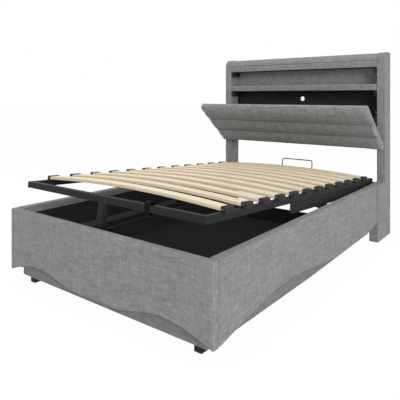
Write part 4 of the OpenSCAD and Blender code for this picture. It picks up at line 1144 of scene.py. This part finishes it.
class BED_OT_turn_grommet(bpy.types.Operator):
    """Makes the cable hole's rim: a rounded flange with a bead round the opening"""

    bl_idname = "bed.turn_grommet"
    bl_label = "Turn grommet"

    def execute(self, context):
        low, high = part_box("cable_grommet")
        x, z, outer = (low.x + high.x) / 2, (low.z + high.z) / 2, (high.x - low.x) / 2
        # The profile turned round the hole's axis, as shares of the outer radius and the depth
        profile = np.array([
            (0.741, 1), (0.741, 0.11), (0.75, 0.03), (0.78, 0), (0.83, 0.02), (0.88, 0.07),
            (0.95, 0.08), (0.985, 0.1), (1, 0.15), (1, 0.2), (0.815, 0.2), (0.815, 1)])
        angle = np.linspace(0, 2 * np.pi, 96, endpoint=False)[:, None]
        ring = profile[None, :, 0] * outer
        y = np.broadcast_to(low.y + profile[:, 1] * (high.y - low.y), (96, len(profile)))
        rings = np.stack([x + ring * np.cos(angle), y, z + ring * np.sin(angle)], -1)
        rim = loft("cable_grommet_rim", rings, 50, closed=True)
        dress(rim, "bed_base", "black_plastic", "cable_grommet")
        return {"FINISHED"}


class BED_OT_loop_strap(bpy.types.Operator):
    """Makes the pull strap: a webbing loop round the front bar"""

    bl_idname = "bed.loop_strap"
    bl_label = "Loop strap"

    def execute(self, context):
        p = context.scene.bed_platform
        low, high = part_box("pull_strap")
        wide, thick, gap, drop, rise = high.x - low.x, 0.0016, 0.0011, 0.0112, 0.0132
        y0, y1 = p.front - gap, p.front + p.bar + gap
        z0, z1 = p.low - drop, p.low + p.bar + rise
        low_round, high_round = 0.006, 0.012
        path = filleted(
            [(y0, z0), (y1, z0), (y1, z1), (y0, z1)],
            [low_round, low_round, high_round, high_round], steps=10, spacing=0.004)
        # The band's section carried along the path, as shares of its half width and thickness
        section = np.array([
            (-1, -0.7), (-0.985, -1), (0.985, -1), (1, -0.7),
            (1, 0.7), (0.985, 1), (-0.985, 1), (-1, 0.7)])
        proud = section[:, 1] * thick / 2
        yz = path[:, None, :] + normals(path)[:, None, :] * proud[None, :, None]
        x = np.broadcast_to((low.x + high.x) / 2 + section[:, 0] * wide / 2, yz.shape[:2])
        rings = lifted(np.concatenate([x[..., None], yz], -1))
        strap = loft("pull_strap_webbing", rings, 50, closed=True)
        dress(strap, "slat_platform", "strap_web", "pull_strap")
        return {"FINISHED"}


# The photograph's frame in pixels, its focal length and the optical centre in it, and the sensor
PICTURE, FOCAL, CENTRE, SENSOR = 400, 456.7336, (240, 96.1527), 36
EYE, YAW = (1.8229, -2.425, 1.043), 35.4191
AMBIENT = 0.46  # strength of the world's light on the object
FLOOR_HALF, FLOOR_TONE = 30, 0.9
GLOW, GLOW_SHARE = 1.03, 0.93  # the floor's own white before the camera, and its share there


def area_light(name, place, target, size, power):
    """A square lamp at a place, facing a target."""
    data = bpy.data.lights.new(name, "AREA")
    data.size, data.energy = size, power
    lamp = bpy.data.objects.new(name, data)
    lamp.location = place
    x, y, z = np.array(target, float) - np.array(place, float)
    pitch = math.atan2(z, math.hypot(x, y)) + QUARTER
    lamp.rotation_euler = (pitch, 0, math.atan2(y, x) - QUARTER)
    bpy.context.scene.collection.objects.link(lamp)


class BED_OT_set_stage(bpy.types.Operator):
    """Sets the white floor, the soft lights and the camera"""

    bl_idname = "bed.set_stage"
    bl_label = "Set stage"

    def execute(self, context):
        scene = context.scene
        scene.view_settings.view_transform = "Standard"
        mesh, far = bpy.data.meshes.new("studio_floor"), FLOOR_HALF
        corners = [(-far, -far, 0), (far, -far, 0), (far, far, 0), (-far, far, 0)]
        mesh.from_pydata(corners, [], [(0, 1, 2, 3)])
        floor = bpy.data.objects.new("studio_floor", mesh)
        scene.collection.objects.link(floor)
        paint = Finish("white_floor", [FLOOR_TONE] * 3, 0.9)
        ray = paint.node("LightPath").outputs["Is Camera Ray"]
        glow = paint.node("Emission", Color=WHITE, Strength=GLOW).outputs[0]
        share = paint.times(ray, GLOW_SHARE)
        blend = paint.node("MixShader", _0=share, _1=paint.surface.outputs[0], _2=glow)
        out = paint.tree.nodes["Material Output"]
        paint.tree.links.new(blend.outputs[0], out.inputs["Surface"])
        mesh.materials.append(paint.material)

        scene.world = bpy.data.worlds.new("studio_world")
        scene.world.use_nodes = True
        tree = scene.world.node_tree
        ray, larger = add_node(tree, "LightPath").outputs, {"operation": "MAXIMUM"}
        glossy, through = ray["Is Glossy Ray"], ray["Is Transmission Ray"]
        mirror = add_node(tree, "Math", larger, _0=glossy, _1=through).outputs[0]
        seen = add_node(tree, "Math", larger, _0=ray["Is Camera Ray"], _1=mirror).outputs[0]
        ambient = tree.nodes["Background"]
        ambient.inputs["Color"].default_value = WHITE
        ambient.inputs["Strength"].default_value = AMBIENT
        white = add_node(tree, "Background", Color=WHITE, Strength=1.0).outputs[0]
        mix = add_node(tree, "MixShader", _0=seen, _1=ambient.outputs[0], _2=white)
        tree.links.new(mix.outputs[0], tree.nodes["World Output"].inputs["Surface"])

        area_light("key_light", (9.4, -6.4, 5.0), (0, 0, 0.5), 5.0, 700)
        area_light("top_light", (-0.6, -0.6, 4.6), (0, 0, 0.4), 3.2, 50)

        data = bpy.data.cameras.new("photo_camera")
        data.sensor_width, data.lens = SENSOR, FOCAL / PICTURE * SENSOR
        data.shift_x = (PICTURE / 2 - CENTRE[0]) / PICTURE
        data.shift_y = (CENTRE[1] - PICTURE / 2) / PICTURE
        camera = bpy.data.objects.new("photo_camera", data)
        camera.location = EYE
        camera.rotation_euler = (QUARTER, 0, math.radians(YAW))
        scene.collection.objects.link(camera)
        scene.camera = camera
        return {"FINISHED"}


class BED_PT_panel(bpy.types.Panel):
    """Lists the bed's steps and sizes"""

    bl_idname = "BED_PT_panel"
    bl_label = "Storage bed"
    bl_space_type = "VIEW_3D"
    bl_region_type = "UI"
    bl_category = "Bed"

    def draw(self, context):
        column = self.layout.column()
        for step in STEPS:
            column.operator(step.bl_idname)
        for group in GROUPS:
            owner = getattr(context.scene, group)
            for name in owner.__annotations__:
                column.prop(owner, name)


STEPS = (
    BED_OT_set_stage,
    BED_OT_finish_parts,
    BED_OT_upholster_base,
    BED_OT_upholster_headboard,
    BED_OT_pad_flap,
    BED_OT_lay_slats,
    BED_OT_fit_holders,
    BED_OT_weld_bars,
    BED_OT_bend_leg,
    BED_OT_loop_strap,
    BED_OT_turn_grommet,
)
GROUPS = {
    "bed_sizes": BedSizes,
    "bed_platform": PlatformSizes,
    "bed_flap": FlapSizes,
    "bed_finishes": Finishes,
}


def register():
    for item in (*GROUPS.values(), *STEPS, BED_PT_panel):
        bpy.utils.register_class(item)
    for name, group in GROUPS.items():
        setattr(bpy.types.Scene, name, bpy.props.PointerProperty(type=group))


def unregister():
    for name in GROUPS:
        delattr(bpy.types.Scene, name)
    for item in (BED_PT_panel, *reversed(STEPS), *reversed(GROUPS.values())):
        bpy.utils.unregister_class(item)


def main():
    """Registers the add-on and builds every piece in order."""
    register()
    for step in STEPS:
        family, name = step.bl_idname.split(".")
        getattr(getattr(bpy.ops, family), name)()


if __name__ == "__main__":
    main()
